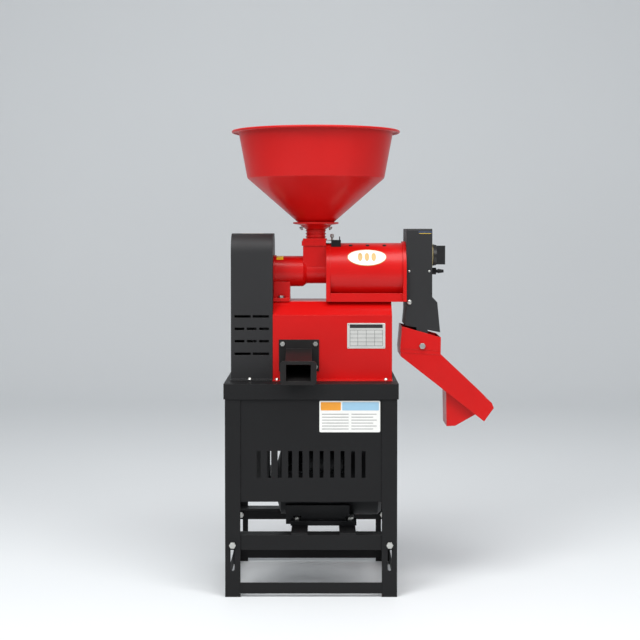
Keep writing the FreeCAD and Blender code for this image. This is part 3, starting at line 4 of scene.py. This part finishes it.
import bmesh
import bpy
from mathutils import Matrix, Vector


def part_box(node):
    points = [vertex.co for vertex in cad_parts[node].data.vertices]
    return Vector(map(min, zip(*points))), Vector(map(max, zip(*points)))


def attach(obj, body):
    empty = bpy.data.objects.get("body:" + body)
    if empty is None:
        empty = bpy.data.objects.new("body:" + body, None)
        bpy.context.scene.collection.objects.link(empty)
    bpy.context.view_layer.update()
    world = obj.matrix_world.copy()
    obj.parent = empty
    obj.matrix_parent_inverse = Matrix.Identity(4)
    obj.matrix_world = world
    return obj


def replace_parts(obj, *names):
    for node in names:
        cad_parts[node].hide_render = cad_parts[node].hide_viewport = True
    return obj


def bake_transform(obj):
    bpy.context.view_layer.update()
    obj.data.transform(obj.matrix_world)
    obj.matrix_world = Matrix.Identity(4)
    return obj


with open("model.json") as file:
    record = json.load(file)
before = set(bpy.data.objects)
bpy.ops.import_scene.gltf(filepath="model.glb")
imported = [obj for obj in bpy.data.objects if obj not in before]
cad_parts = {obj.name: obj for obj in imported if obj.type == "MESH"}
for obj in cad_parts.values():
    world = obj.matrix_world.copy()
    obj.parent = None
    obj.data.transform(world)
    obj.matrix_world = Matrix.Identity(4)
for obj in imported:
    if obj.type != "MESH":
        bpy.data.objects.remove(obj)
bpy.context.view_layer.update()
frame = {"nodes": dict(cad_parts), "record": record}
NODES = frame["nodes"]
MM = 0.001

AXIS_Z = (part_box("milling_roller")[0].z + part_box("milling_roller")[1].z) / 2
FRONT = (0, -1, 0)
Z_AXIS = Vector((0, 0, 1))


# --- materials -----------------------------------------------------------------------------------


class Surface:
    """A principled material with its nodes made one call at a time."""

    def __init__(self, name, roughness, metallic=0.0, coat=0.0, coat_roughness=0.1, specular=0.5):
        self.material = bpy.data.materials.new(name)
        self.material.use_nodes = True
        self.tree = self.material.node_tree
        self.shader = self.tree.nodes["Principled BSDF"]
        self.shader.inputs["Roughness"].default_value = roughness
        self.shader.inputs["Metallic"].default_value = metallic
        self.shader.inputs["Coat Weight"].default_value = coat
        self.shader.inputs["Coat Roughness"].default_value = coat_roughness
        self.shader.inputs["Specular IOR Level"].default_value = specular
        self.place = self.node("ShaderNodeTexCoord").outputs["Object"]

    def node(self, kind, **settings):
        made = self.tree.nodes.new(kind)
        for key, setting in settings.items():
            setattr(made, key, setting)
        return made

    def join(self, output, socket):
        self.tree.links.new(output, socket)

    def stretched(self, scale):
        mapping = self.node("ShaderNodeMapping")
        mapping.inputs["Scale"].default_value = scale
        self.join(self.place, mapping.inputs["Vector"])
        return mapping.outputs["Vector"]

    def noise(self, scale, detail=3.0, roughness=0.5, stretch=None):
        made = self.node("ShaderNodeTexNoise")
        made.inputs["Scale"].default_value = scale
        made.inputs["Detail"].default_value = detail
        made.inputs["Roughness"].default_value = roughness
        self.join(self.stretched(stretch) if stretch else self.place, made.inputs["Vector"])
        return made.outputs["Fac"]

    def ranged(self, source, low, high, out_low, out_high):
        made = self.node("ShaderNodeMapRange")
        sockets = ("From Min", "From Max", "To Min", "To Max")
        for socket, number in zip(sockets, (low, high, out_low, out_high)):
            made.inputs[socket].default_value = number
        self.join(source, made.inputs["Value"])
        return made.outputs["Result"]

    def product(self, first, second):
        made = self.node("ShaderNodeMath", operation="MULTIPLY")
        self.join(first, made.inputs[0])
        self.join(second, made.inputs[1])
        return made.outputs[0]

    def mixed(self, factor, first, second):
        """Two colours, each a tuple or an output, mixed by a factor."""
        made = self.node("ShaderNodeMix", data_type="RGBA")
        self.join(factor, made.inputs["Factor"])
        for socket, colour in ((made.inputs[6], first), (made.inputs[7], second)):
            if isinstance(colour, tuple):
                socket.default_value = (*colour, 1.0)
            else:
                self.join(colour, socket)
        return made.outputs[2]

    def edges(self, radius):
        """Normals rounded at edges, and a mask that is 1 on those edges."""
        bevel = self.node("ShaderNodeBevel", samples=4)
        bevel.inputs["Radius"].default_value = radius
        flat = self.node("ShaderNodeNewGeometry").outputs["Normal"]
        dot = self.node("ShaderNodeVectorMath", operation="DOT_PRODUCT")
        self.join(bevel.outputs["Normal"], dot.inputs[0])
        self.join(flat, dot.inputs[1])
        return bevel.outputs["Normal"], self.ranged(dot.outputs["Value"], 0.99, 0.86, 0.0, 1.0)

    def bump(self, height, strength, distance, normal=None):
        made = self.node("ShaderNodeBump")
        made.inputs["Strength"].default_value = strength
        made.inputs["Distance"].default_value = distance
        self.join(height, made.inputs["Height"])
        if normal is not None:
            self.join(normal, made.inputs["Normal"])
        self.join(made.outputs["Normal"], self.shader.inputs["Normal"])

    def colour(self, source):
        self.join(source, self.shader.inputs["Base Color"])

    def rough(self, source):
        self.join(source, self.shader.inputs["Roughness"])


def linear(red, green, blue):
    """A colour given as 0 to 255 screen values."""
    def one(number):
        share = number / 255
        return share / 12.92 if share <= 0.04045 else ((share + 0.055) / 1.055) ** 2.4
    return one(red), one(green), one(blue)


def shaded(colour, factor):
    return tuple(min(1.0, part * factor) for part in colour)


def paint(name, colour, roughness, coat=0.0, grain=900.0, relief=0.12, worn=None, wear=0.5, edge=0.0012,
          specular=0.25):
    """Sprayed paint: slight mottling, orange peel, dust-dull patches and paler or bare edges."""
    surface = Surface(name, roughness, coat=coat, coat_roughness=0.18, specular=specular)
    normal, mask = surface.edges(edge)
    broad = surface.ranged(surface.noise(7.0, 4.0), 0.3, 0.7, 0.0, 1.0)
    body = surface.mixed(broad, shaded(colour, 0.93), shaded(colour, 1.05))
    speck = surface.ranged(surface.noise(260.0, 2.0), 0.62, 0.72, 0.0, 0.25)
    body = surface.mixed(speck, body, shaded(colour, 0.8))
    chips = surface.ranged(surface.noise(85.0, 3.0), 0.45, 0.62, 0.0, wear)
    body = surface.mixed(surface.product(mask, chips), body, worn or shaded(colour, 1.5))
    surface.colour(body)
    surface.rough(surface.ranged(surface.noise(11.0, 3.0), 0.3, 0.7, roughness - 0.05, roughness + 0.07))
    surface.bump(surface.noise(grain, 2.0), relief, 0.0004, normal)
    return surface.material


def metal(name, colour, roughness, brushed=(1, 1, 1), grain=300.0, relief=0.1, edge=0.0006, tarnish=0.75):
    """Bright metal with fine machining or brushing lines, duller patches and a painted highlight on its
    edges.
    """
    surface = Surface(name, roughness, metallic=1.0)
    normal, mask = surface.edges(edge)
    cloud = surface.ranged(surface.noise(35.0, 4.0), 0.35, 0.65, 0.0, 1.0)
    body = surface.mixed(cloud, shaded(colour, tarnish), colour)
    # painted highlight: every edge is painted 12% brighter than the body
    surface.colour(surface.mixed(mask, body, shaded(colour, 1.12)))
    lines = surface.noise(grain, 2.0, stretch=brushed)
    surface.rough(surface.ranged(lines, 0.3, 0.7, roughness - 0.07, roughness + 0.1))
    surface.bump(lines, relief, 0.0002, normal)
    return surface.material


def moulded(name, colour, roughness, grain=700.0, relief=0.15, edge=0.001):
    """Moulded plastic or rubber: an even colour with a fine leathery grain and a painted highlight on its
    edges.
    """
    surface = Surface(name, roughness)
    normal, mask = surface.edges(edge)
    cloud = surface.ranged(surface.noise(22.0, 4.0), 0.35, 0.65, 0.0, 1.0)
    body = surface.mixed(cloud, shaded(colour, 0.85), shaded(colour, 1.1))
    # painted highlight: every edge is painted 60% brighter than the body
    surface.colour(surface.mixed(mask, body, shaded(colour, 1.6)))
    surface.rough(surface.ranged(surface.noise(40.0, 2.0), 0.3, 0.7, roughness - 0.05, roughness + 0.08))
    surface.bump(surface.noise(grain, 3.0), relief, 0.0003, normal)
    return surface.material


def printed(name, colour, roughness=0.4):
    """A vinyl sticker's even colour with a faint unevenness."""
    surface = Surface(name, roughness, coat=0.3, coat_roughness=0.2)
    cloud = surface.ranged(surface.noise(30.0, 3.0), 0.35, 0.65, 0.0, 1.0)
    surface.colour(surface.mixed(cloud, shaded(colour, 0.95), colour))
    surface.bump(surface.noise(500.0, 2.0), 0.05, 0.0002)
    return surface.material


RED = linear(192, 8, 6)
DARK = linear(40, 40, 41)
FRAME_GREY = linear(24, 24, 25)

MATERIALS = {
    "frame_paint": paint("frame_paint", FRAME_GREY, 0.5, grain=1300.0, relief=0.3, worn=linear(74, 74, 74),
                         wear=0.4, specular=0.2),
    "guard_paint": paint("guard_paint", DARK, 0.5, grain=1300.0, relief=0.3, worn=linear(92, 92, 92),
                         wear=0.4),
    "red_paint": paint("red_paint", RED, 0.36, coat=0.12, grain=420.0, relief=0.1, worn=linear(240, 90, 70),
                       wear=0.45),
    "black_paint": paint("black_paint", linear(26, 24, 24), 0.45, grain=900.0, relief=0.25,
                         worn=linear(96, 90, 88)),
    "motor_paint": paint("motor_paint", linear(22, 23, 25), 0.45, grain=500.0, relief=0.25,
                         worn=linear(100, 100, 104)),
    "zinc": metal("zinc", linear(205, 205, 200), 0.32, grain=240.0, relief=0.08),
    "steel": metal("steel", linear(176, 176, 178), 0.3, brushed=(1, 12, 12), grain=60.0, relief=0.12),
    "cast": metal("cast", linear(118, 118, 120), 0.48, grain=420.0, relief=0.3, tarnish=0.6),
    "belt_rubber": moulded("belt_rubber", linear(26, 26, 27), 0.7, grain=420.0, relief=0.3),
    "black_metal": paint("black_metal", linear(18, 18, 19), 0.4, grain=700.0, relief=0.1,
                         worn=linear(70, 70, 70)),
    "black_plastic": moulded("black_plastic", linear(24, 24, 25), 0.38, grain=900.0, relief=0.12),
    "plate_plastic": moulded("plate_plastic", linear(178, 164, 120), 0.45),
}
SLOT_OF = {entry["node"]: entry["material_slot"] for entry in frame["record"]["subparts"]}

for node_name, item in NODES.items():
    item.data.materials.clear()
    item.data.materials.append(MATERIALS[SLOT_OF[node_name]])
for node_name in ("lock_nut", "pressure_screw", "gate_guide"):
    NODES[node_name].data.materials[0] = MATERIALS["black_metal"]


# --- mesh helpers --------------------------------------------------------------------------------


def add_piece(name, mesh, material, body, smooth_angle=40):
    """Link a bmesh as a named piece that rides on a body."""
    data = bpy.data.meshes.new(name)
    bmesh.ops.recalc_face_normals(mesh, faces=mesh.faces)
    mesh.to_mesh(data)
    mesh.free()
    piece = bpy.data.objects.new(name, data)
    bpy.context.scene.collection.objects.link(piece)
    data.materials.append(material)
    for face in data.polygons:
        face.use_smooth = True
    data.set_sharp_from_angle(angle=math.radians(smooth_angle))
    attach(piece, body)
    return piece


def towards(direction):
    """The rotation that turns +Z to a direction."""
    return Vector(direction).to_track_quat("Z", "Y").to_matrix().to_4x4()


def slab(mesh, corners, thickness, out):
    """A thin plate: its front outline lifted from its back one along a direction."""
    out = Vector(out).normalized() * thickness
    back = [mesh.verts.new(corner) for corner in corners]
    front = [mesh.verts.new(Vector(corner) + out) for corner in corners]
    count = len(back)
    mesh.faces.new(front)
    mesh.faces.new(back[::-1])
    for index in range(count):
        following = (index + 1) % count
        mesh.faces.new((back[index], back[following], front[following], front[index]))


def rounded_rectangle(width, height, radius, steps=5):
    """Outline points of a rectangle with round corners, centred on the origin."""
    points = []
    for quarter, (side_x, side_y) in enumerate(((1, 1), (-1, 1), (-1, -1), (1, -1))):
        centre = (side_x * (width / 2 - radius), side_y * (height / 2 - radius))
        for step in range(steps + 1):
            angle = math.pi / 2 * (quarter + step / steps)
            points.append((centre[0] + radius * math.cos(angle), centre[1] + radius * math.sin(angle)))
    return points


def front_slab(mesh, centre_x, y, centre_z, width, height, thickness, radius=0.001, steps=4):
    """A thin plate that faces the front."""
    outline = rounded_rectangle(width, height, min(radius, width / 2.01, height / 2.01), steps)
    corners = [(centre_x + u, y, centre_z + v) for u, v in outline]
    slab(mesh, corners, thickness, FRONT)


def dome(mesh, place, direction, radius, height, steps=16, rings=4):
    """A low domed head on a flat seat."""
    turn = towards(direction)
    rows = []
    for ring in range(rings):
        angle = math.pi / 2 * ring / rings
        row = []
        for step in range(steps):
            around = math.tau * step / steps
            point = Vector((radius * math.cos(angle) * math.cos(around),
                            radius * math.cos(angle) * math.sin(around), height * math.sin(angle)))
            row.append(mesh.verts.new(place + turn @ point))
        rows.append(row)
    top = mesh.verts.new(place + turn @ Vector((0, 0, height)))
    for low, high in zip(rows, rows[1:]):
        for step in range(steps):
            following = (step + 1) % steps
            mesh.faces.new((low[step], low[following], high[following], high[step]))
    for step in range(steps):
        mesh.faces.new((rows[-1][step], rows[-1][(step + 1) % steps], top))


# --- camera, lights and stage --------------------------------------------------------------------


def make_camera():
    data = bpy.data.cameras.new("camera")
    data.sensor_width = 36.0
    data.lens = 75.0
    data.shift_x = 0.0016
    data.shift_y = -0.08
    camera = bpy.data.objects.new("camera", data)
    camera.location = (0.018, -3.2, 0.844)
    camera.rotation_euler = (math.radians(90 - 1.72), 0, 0)
    bpy.context.scene.collection.objects.link(camera)
    bpy.context.scene.camera = camera


def make_lamp(name, place, target, size, power):
    data = bpy.data.lights.new(name, "AREA")
    data.shape = "RECTANGLE"
    data.size, data.size_y = size
    data.energy = power
    lamp = bpy.data.objects.new(name, data)
    lamp.location = place
    lamp.rotation_euler = (Vector(target) - Vector(place)).to_track_quat("-Z", "Y").to_euler()
    bpy.context.scene.collection.objects.link(lamp)


def make_stage():
    """A pale floor that curves up into a pale backdrop."""
    mesh = bmesh.new()
    profile = [(-9.0, 0.0), (3.2, 0.0)]
    profile += [(3.2 + 1.6 * math.sin(math.radians(a)), 1.6 - 1.6 * math.cos(math.radians(a)))
                for a in range(9, 91, 9)]
    profile.append((4.8, 9.0))
    rows = [[mesh.verts.new((x, y, z)) for y, z in profile] for x in (-9.0, 9.0)]
    for index in range(len(profile) - 1):
        mesh.faces.new((rows[0][index], rows[1][index], rows[1][index + 1], rows[0][index + 1]))
    data = bpy.data.meshes.new("stage_floor")
    mesh.to_mesh(data)
    mesh.free()
    for face in data.polygons:
        face.use_smooth = True
    surface = Surface("stage_pale", 0.6)
    surface.colour(surface.mixed(surface.noise(0.6, 2.0), (0.80, 0.82, 0.83), (0.84, 0.86, 0.87)))
    data.materials.append(surface.material)
    floor = bpy.data.objects.new("stage_floor", data)
    bpy.context.scene.collection.objects.link(floor)


def make_world():
    world = bpy.data.worlds.new("studio")
    world.use_nodes = True
    background = world.node_tree.nodes["Background"]
    background.inputs["Color"].default_value = (0.93, 0.96, 1.0, 1.0)
    background.inputs["Strength"].default_value = 0.42
    bpy.context.scene.world = world


make_camera()
make_world()
make_stage()
make_lamp("key_left", (-2.0, -2.6, 2.9), (0.05, 0, 0.65), (1.6, 1.8), 62)
make_lamp("fill_right", (2.2, -2.2, 2.4), (0.05, 0, 0.65), (1.4, 1.8), 36)
make_lamp("top_soft", (0.0, -1.3, 3.1), (0.0, 0, 0.6), (2.2, 1.6), 62)
bpy.context.scene.view_settings.view_transform = "Standard"

# --- stickers and plates -------------------------------------------------------------------------

WHITE = printed("sticker_white", linear(232, 232, 228))
CREAM = printed("sticker_cream", linear(236, 226, 200))
AMBER = printed("sticker_amber", linear(226, 150, 40))
YELLOW = printed("sticker_yellow", linear(232, 190, 30))
SKY = printed("sticker_sky", linear(150, 190, 214))
INK = printed("ink_grey", linear(70, 70, 74))
SLATE = printed("sticker_slate", linear(48, 58, 78))
GOLD = printed("ink_gold", linear(196, 160, 84))
PLATE = metal("plate_aluminium", linear(226, 226, 222), 0.5, brushed=(1, 30, 30), grain=50.0, relief=0.05,
              tarnish=0.92)
BAND = printed("ink_black", linear(28, 28, 30))

FILM = 0.00025


def wrapped_oval(name, material, centre_x, tilt, half_length, half_width, radius, body, steps=48, rings=6):
    """A thin oval film bent round the main shaft's axis; tilt is measured from the front upwards."""
    mesh = bmesh.new()

    def point(share, angle):
        x = centre_x + share * half_length * math.cos(angle)
        around = tilt + share * half_width / radius * math.sin(angle)
        return Vector((x, -radius * math.cos(around), AXIS_Z + radius * math.sin(around)))

    middle = mesh.verts.new(point(0, 0))
    previous = None
    for ring in range(1, rings + 1):
        current = [mesh.verts.new(point(ring / rings, math.tau * step / steps)) for step in range(steps)]
        for step in range(steps):
            following = (step + 1) % steps
            if previous is None:
                mesh.faces.new((middle, current[step], current[following]))
            else:
                mesh.faces.new((previous[step], current[step], current[following], previous[following]))
        previous = current
    return add_piece(name, mesh, material, body)


def make_cover_sticker():
    """A plain oval sticker on the milling cover with a thin border and three grain shapes."""
    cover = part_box("milling_cover")
    radius = (cover[1].y - cover[0].y) / 2
    centre_x, centre_z, half_length, half_width, border = 0.131, 0.7775, 0.046, 0.0225, 0.0013
    tilt = math.asin((centre_z - AXIS_Z) / radius)
    wrapped_oval("oval_border", GOLD, centre_x, tilt, half_length, half_width, radius + FILM, "root")
    wrapped_oval("oval_field", WHITE, centre_x, tilt, half_length - border, half_width - border,
                 radius + 2 * FILM, "root")
    for index, shift in enumerate((-0.016, 0.0, 0.016)):
        wrapped_oval("oval_grain_%d" % index, GOLD, centre_x + shift, tilt, 0.0055, 0.011,
                     radius + 3 * FILM, "root", steps=24, rings=3)


def make_name_plate():
    """A bare plate with ruled lines and a rivet at each corner."""
    centre_x, y, centre_z = 0.1285, -0.088, 0.59375
    width, height, thickness = 0.089, 0.0595, 0.0006
    ruled_width, rule, row_pitch, rivet_inset = width - 0.012, 0.0006, 0.0092, 0.0032
    mesh = bmesh.new()
    front_slab(mesh, centre_x, y, centre_z, width, height, thickness, 0.002)
    add_piece("name_plate", mesh, PLATE, "root")
    ruled = bmesh.new()
    face = y - thickness
    front_slab(ruled, centre_x, face, centre_z + 0.0225, ruled_width, 0.0085, FILM, 0.0005)
    for row in range(5):
        row_z = centre_z + 0.0135 - row * row_pitch
        front_slab(ruled, centre_x, face, row_z, ruled_width, rule, FILM, 0.0002)
    for share in (-0.46, -0.24, 0.0, 0.24, 0.46):
        column_x = centre_x + share * (width - 0.0068)
        front_slab(ruled, column_x, face, centre_z - 0.0048, rule, 0.0372, FILM, 0.0002)
    add_piece("name_plate_rules", ruled, BAND, "root")
    rivets = bmesh.new()
    for side_x in (-1, 1):
        for side_z in (-1, 1):
            rivet_x = centre_x + side_x * (width / 2 - rivet_inset)
            rivet_z = centre_z + side_z * (height / 2 - rivet_inset)
            dome(rivets, Vector((rivet_x, face, rivet_z)), FRONT, 0.0017, 0.0009)
    add_piece("name_plate_rivets", rivets, MATERIALS["zinc"], "root")


def make_manual_sticker():
    """A paper label on the front panel: an amber field, a pale field and ruled lines."""
    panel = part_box("front_panel")
    y = panel[0].y
    left, right, low, high = 0.019, 0.158, 0.379, 0.451
    band_z, band_height = high - 0.0125, 0.019
    column_width, column_pitch, row_pitch = 0.061, 0.067, 0.0068
    middle_z = (low + high) / 2
    base = bmesh.new()
    front_slab(base, (left + right) / 2, y, middle_z, right - left, high - low, FILM, 0.003)
    add_piece("label_paper", base, WHITE, "root")
    face = y - FILM
    band = bmesh.new()
    front_slab(band, left + 0.026, face, band_z, 0.046, band_height, FILM, 0.002)
    add_piece("label_amber", band, AMBER, "root")
    field = bmesh.new()
    front_slab(field, right - 0.045, face, band_z, 0.084, band_height, FILM, 0.002)
    add_piece("label_sky", field, SKY, "root")
    lines = bmesh.new()
    for row in range(6):
        for column, share in ((0, 1.0), (1, 0.82 if row % 2 else 0.95)):
            width = column_width * share
            start = left + 0.006 + column * column_pitch
            line_z = high - 0.0305 - row * row_pitch
            front_slab(lines, start + width / 2, face, line_z, width, 0.0011, FILM, 0.0004)
    add_piece("label_lines", lines, INK, "root")


def make_small_stickers():
    """Plain coloured stickers without words: on the barrel, the head and the guard's top."""
    radius = 0.0365
    mesh = bmesh.new()
    low_angle, high_angle = math.asin(0.0275 / radius), math.asin(0.0362 / radius)
    rows = []
    for step in range(7):
        angle = low_angle + (high_angle - low_angle) * step / 6
        y = -(radius + FILM) * math.cos(angle)
        z = AXIS_Z + (radius + FILM) * math.sin(angle)
        rows.append([mesh.verts.new((x, y, z)) for x in (-0.083, -0.067)])
    for low_row, high_row in zip(rows, rows[1:]):
        mesh.faces.new((low_row[0], low_row[1], high_row[1], high_row[0]))
    add_piece("barrel_sticker", mesh, YELLOW, "root")
    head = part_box("discharge_head")
    patch = bmesh.new()
    front_slab(patch, 0.2683, head[0].y, head[1].z - 0.0085, 0.0315, 0.0065, FILM, 0.001)
    add_piece("head_sticker", patch, SLATE, "root")
    edge = bmesh.new()
    front_slab(edge, 0.2683, head[0].y - FILM, head[1].z - 0.0112, 0.0285, 0.0009, FILM, 0.0003)
    add_piece("head_sticker_mark", edge, YELLOW, "root")
    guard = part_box("belt_guard")
    strip = bmesh.new()
    left, right, front, back = -0.165, -0.114, -0.042, -0.012
    corners = [(x, y, guard[1].z) for x, y in ((left, front), (right, front), (right, back), (left, back))]
    slab(strip, corners, FILM, Z_AXIS)
    add_piece("guard_sticker", strip, CREAM, "root")


# --- hopper and milling cover --------------------------------------------------------------------


def spun(name, profile, centre, material, steps=128):
    """A closed outline of (radius, height) points in mm, turned about an upright axis."""
    mesh = bmesh.new()
    rings = []
    for radius, height in profile:
        rings.append([mesh.verts.new(centre + Vector((radius * MM * math.cos(math.tau * step / steps),
                                                      radius * MM * math.sin(math.tau * step / steps),
                                                      height * MM))) for step in range(steps)])
    for low, high in zip(rings, rings[1:] + rings[:1]):
        for step in range(steps):
            following = (step + 1) % steps
            mesh.faces.new((low[step], low[following], high[following], high[step]))
    return add_piece(name, mesh, material, "root", smooth_angle=25)


def make_hopper():
    """The sheet cone with its upright band, soft shoulder and rolled lip."""
    low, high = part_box("hopper")
    centre = Vector(((low.x + high.x) / 2, 0, low.z))
    outside = [(24.8, 0), (161.0, 118.5), (163.6, 121.2), (164.6, 124.5), (184.2, 229.0), (185.6, 230.6),
               (188.0, 231.4), (196.0, 231.6)]
    bead = [(198.0 + 3.0 * math.sin(math.radians(a)), 231.0 - 3.0 * math.cos(math.radians(a)))
            for a in range(0, 181, 20)]
    inside = [(196.0, 233.6), (187.0, 233.0), (184.4, 231.8), (183.0, 229.4), (163.2, 124.9), (161.8, 121.9),
              (159.4, 119.6), (23.0, 0)]
    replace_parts(spun("hopper_shell", outside + bead + inside, centre, MATERIALS["red_paint"]), "hopper")


def make_round_cover():
    """The cast cover as a round shell that stands on the sole, with three low socket screws."""
    low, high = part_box("milling_cover")
    outer, inner, sole_top = 0.0675, 0.0625, 0.692
    foot = math.asin((AXIS_Z - sole_top) / outer)
    steps = 72
    mesh = bmesh.new()
    rows = []
    for step in range(steps + 1):
        angle = -foot + (math.pi + 2 * foot) * step / steps
        rows.append([mesh.verts.new((x, -radius * math.cos(angle), AXIS_Z + radius * math.sin(angle)))
                     for x, radius in ((low.x, outer), (high.x, outer), (high.x, inner), (low.x, inner))])
    for first, second in zip(rows, rows[1:]):
        for index in range(4):
            following = (index + 1) % 4
            mesh.faces.new((first[index], first[following], second[following], second[index]))
    mesh.faces.new(rows[0])
    mesh.faces.new(rows[-1][::-1])
    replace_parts(add_piece("round_cover", mesh, MATERIALS["red_paint"], "root"), "milling_cover")
    screws = bmesh.new()
    lean = math.radians(24)
    up = Vector((0, -math.sin(lean), math.cos(lean)))
    for index in range(3):
        seat = Vector((0.0934 + 0.04 * index, 0, AXIS_Z)) + up * outer
        dome(screws, seat, up, 0.0048, 0.0016)
    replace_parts(add_piece("cover_set_screws", screws, MATERIALS["black_metal"], "root"), "cover_screws")


def make_fasteners():
    """Small fasteners on the head's front and the raised lines of the chute's folds."""
    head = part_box("discharge_head")
    mesh = bmesh.new()
    for x, z, radius, height in ((0.2305, 0.744, 0.003, 0.002), (0.231, 0.671, 0.0065, 0.004),
                                 (0.278, 0.744, 0.003, 0.002)):
        dome(mesh, Vector((x, head[0].y, z)), FRONT, radius, height)
    add_piece("head_screws", mesh, MATERIALS["zinc"], "root")
    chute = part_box("chute")
    creases = bmesh.new()
    for drop in (0.0, 0.009):
        corners = [(0.2118, chute[0].y, 0.5612 - drop), (0.3042, chute[0].y, 0.5552 - drop),
                   (0.3042, chute[0].y, 0.5562 - drop), (0.2118, chute[0].y, 0.5622 - drop)]
        slab(creases, corners, 0.0005, FRONT)
    add_piece("chute_creases", creases, MATERIALS["red_paint"], "chute")


def make_welds():
    """Rippled weld beads where the bottom rails meet the legs."""
    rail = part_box("bottom_rails")
    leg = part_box("leg_front_left")
    wide = leg[1].x - leg[0].x
    mesh = bmesh.new()
    for side in (-1, 1):
        x = leg[0].x + wide if side < 0 else -leg[0].x - wide
        for step in range(9):
            height = rail[0].z + 0.002 + step * (rail[1].z - rail[0].z - 0.004) / 8
            radius = 0.0021 + 0.0003 * (step % 2)
            dome(mesh, Vector((x, rail[0].y, height)), FRONT, radius, 0.0013, steps=10, rings=3)
    add_piece("rail_welds", mesh, MATERIALS["frame_paint"], "root")


def stretching_copy(name, node):
    """A copy of a CAD node's mesh, baked in place, that stands in for the hidden node."""
    piece = bpy.data.objects.new(name, NODES[node].data.copy())
    bpy.context.scene.collection.objects.link(piece)
    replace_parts(piece, node)
    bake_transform(piece)


def make_stretching_pieces():
    stretching_copy("belt_loops", "drive_belts")
    stretching_copy("valve_coil", "valve_spring")


make_hopper()
make_round_cover()
make_stretching_pieces()
make_fasteners()
make_welds()
make_cover_sticker()
make_name_plate()
make_manual_sticker()
make_small_stickers()
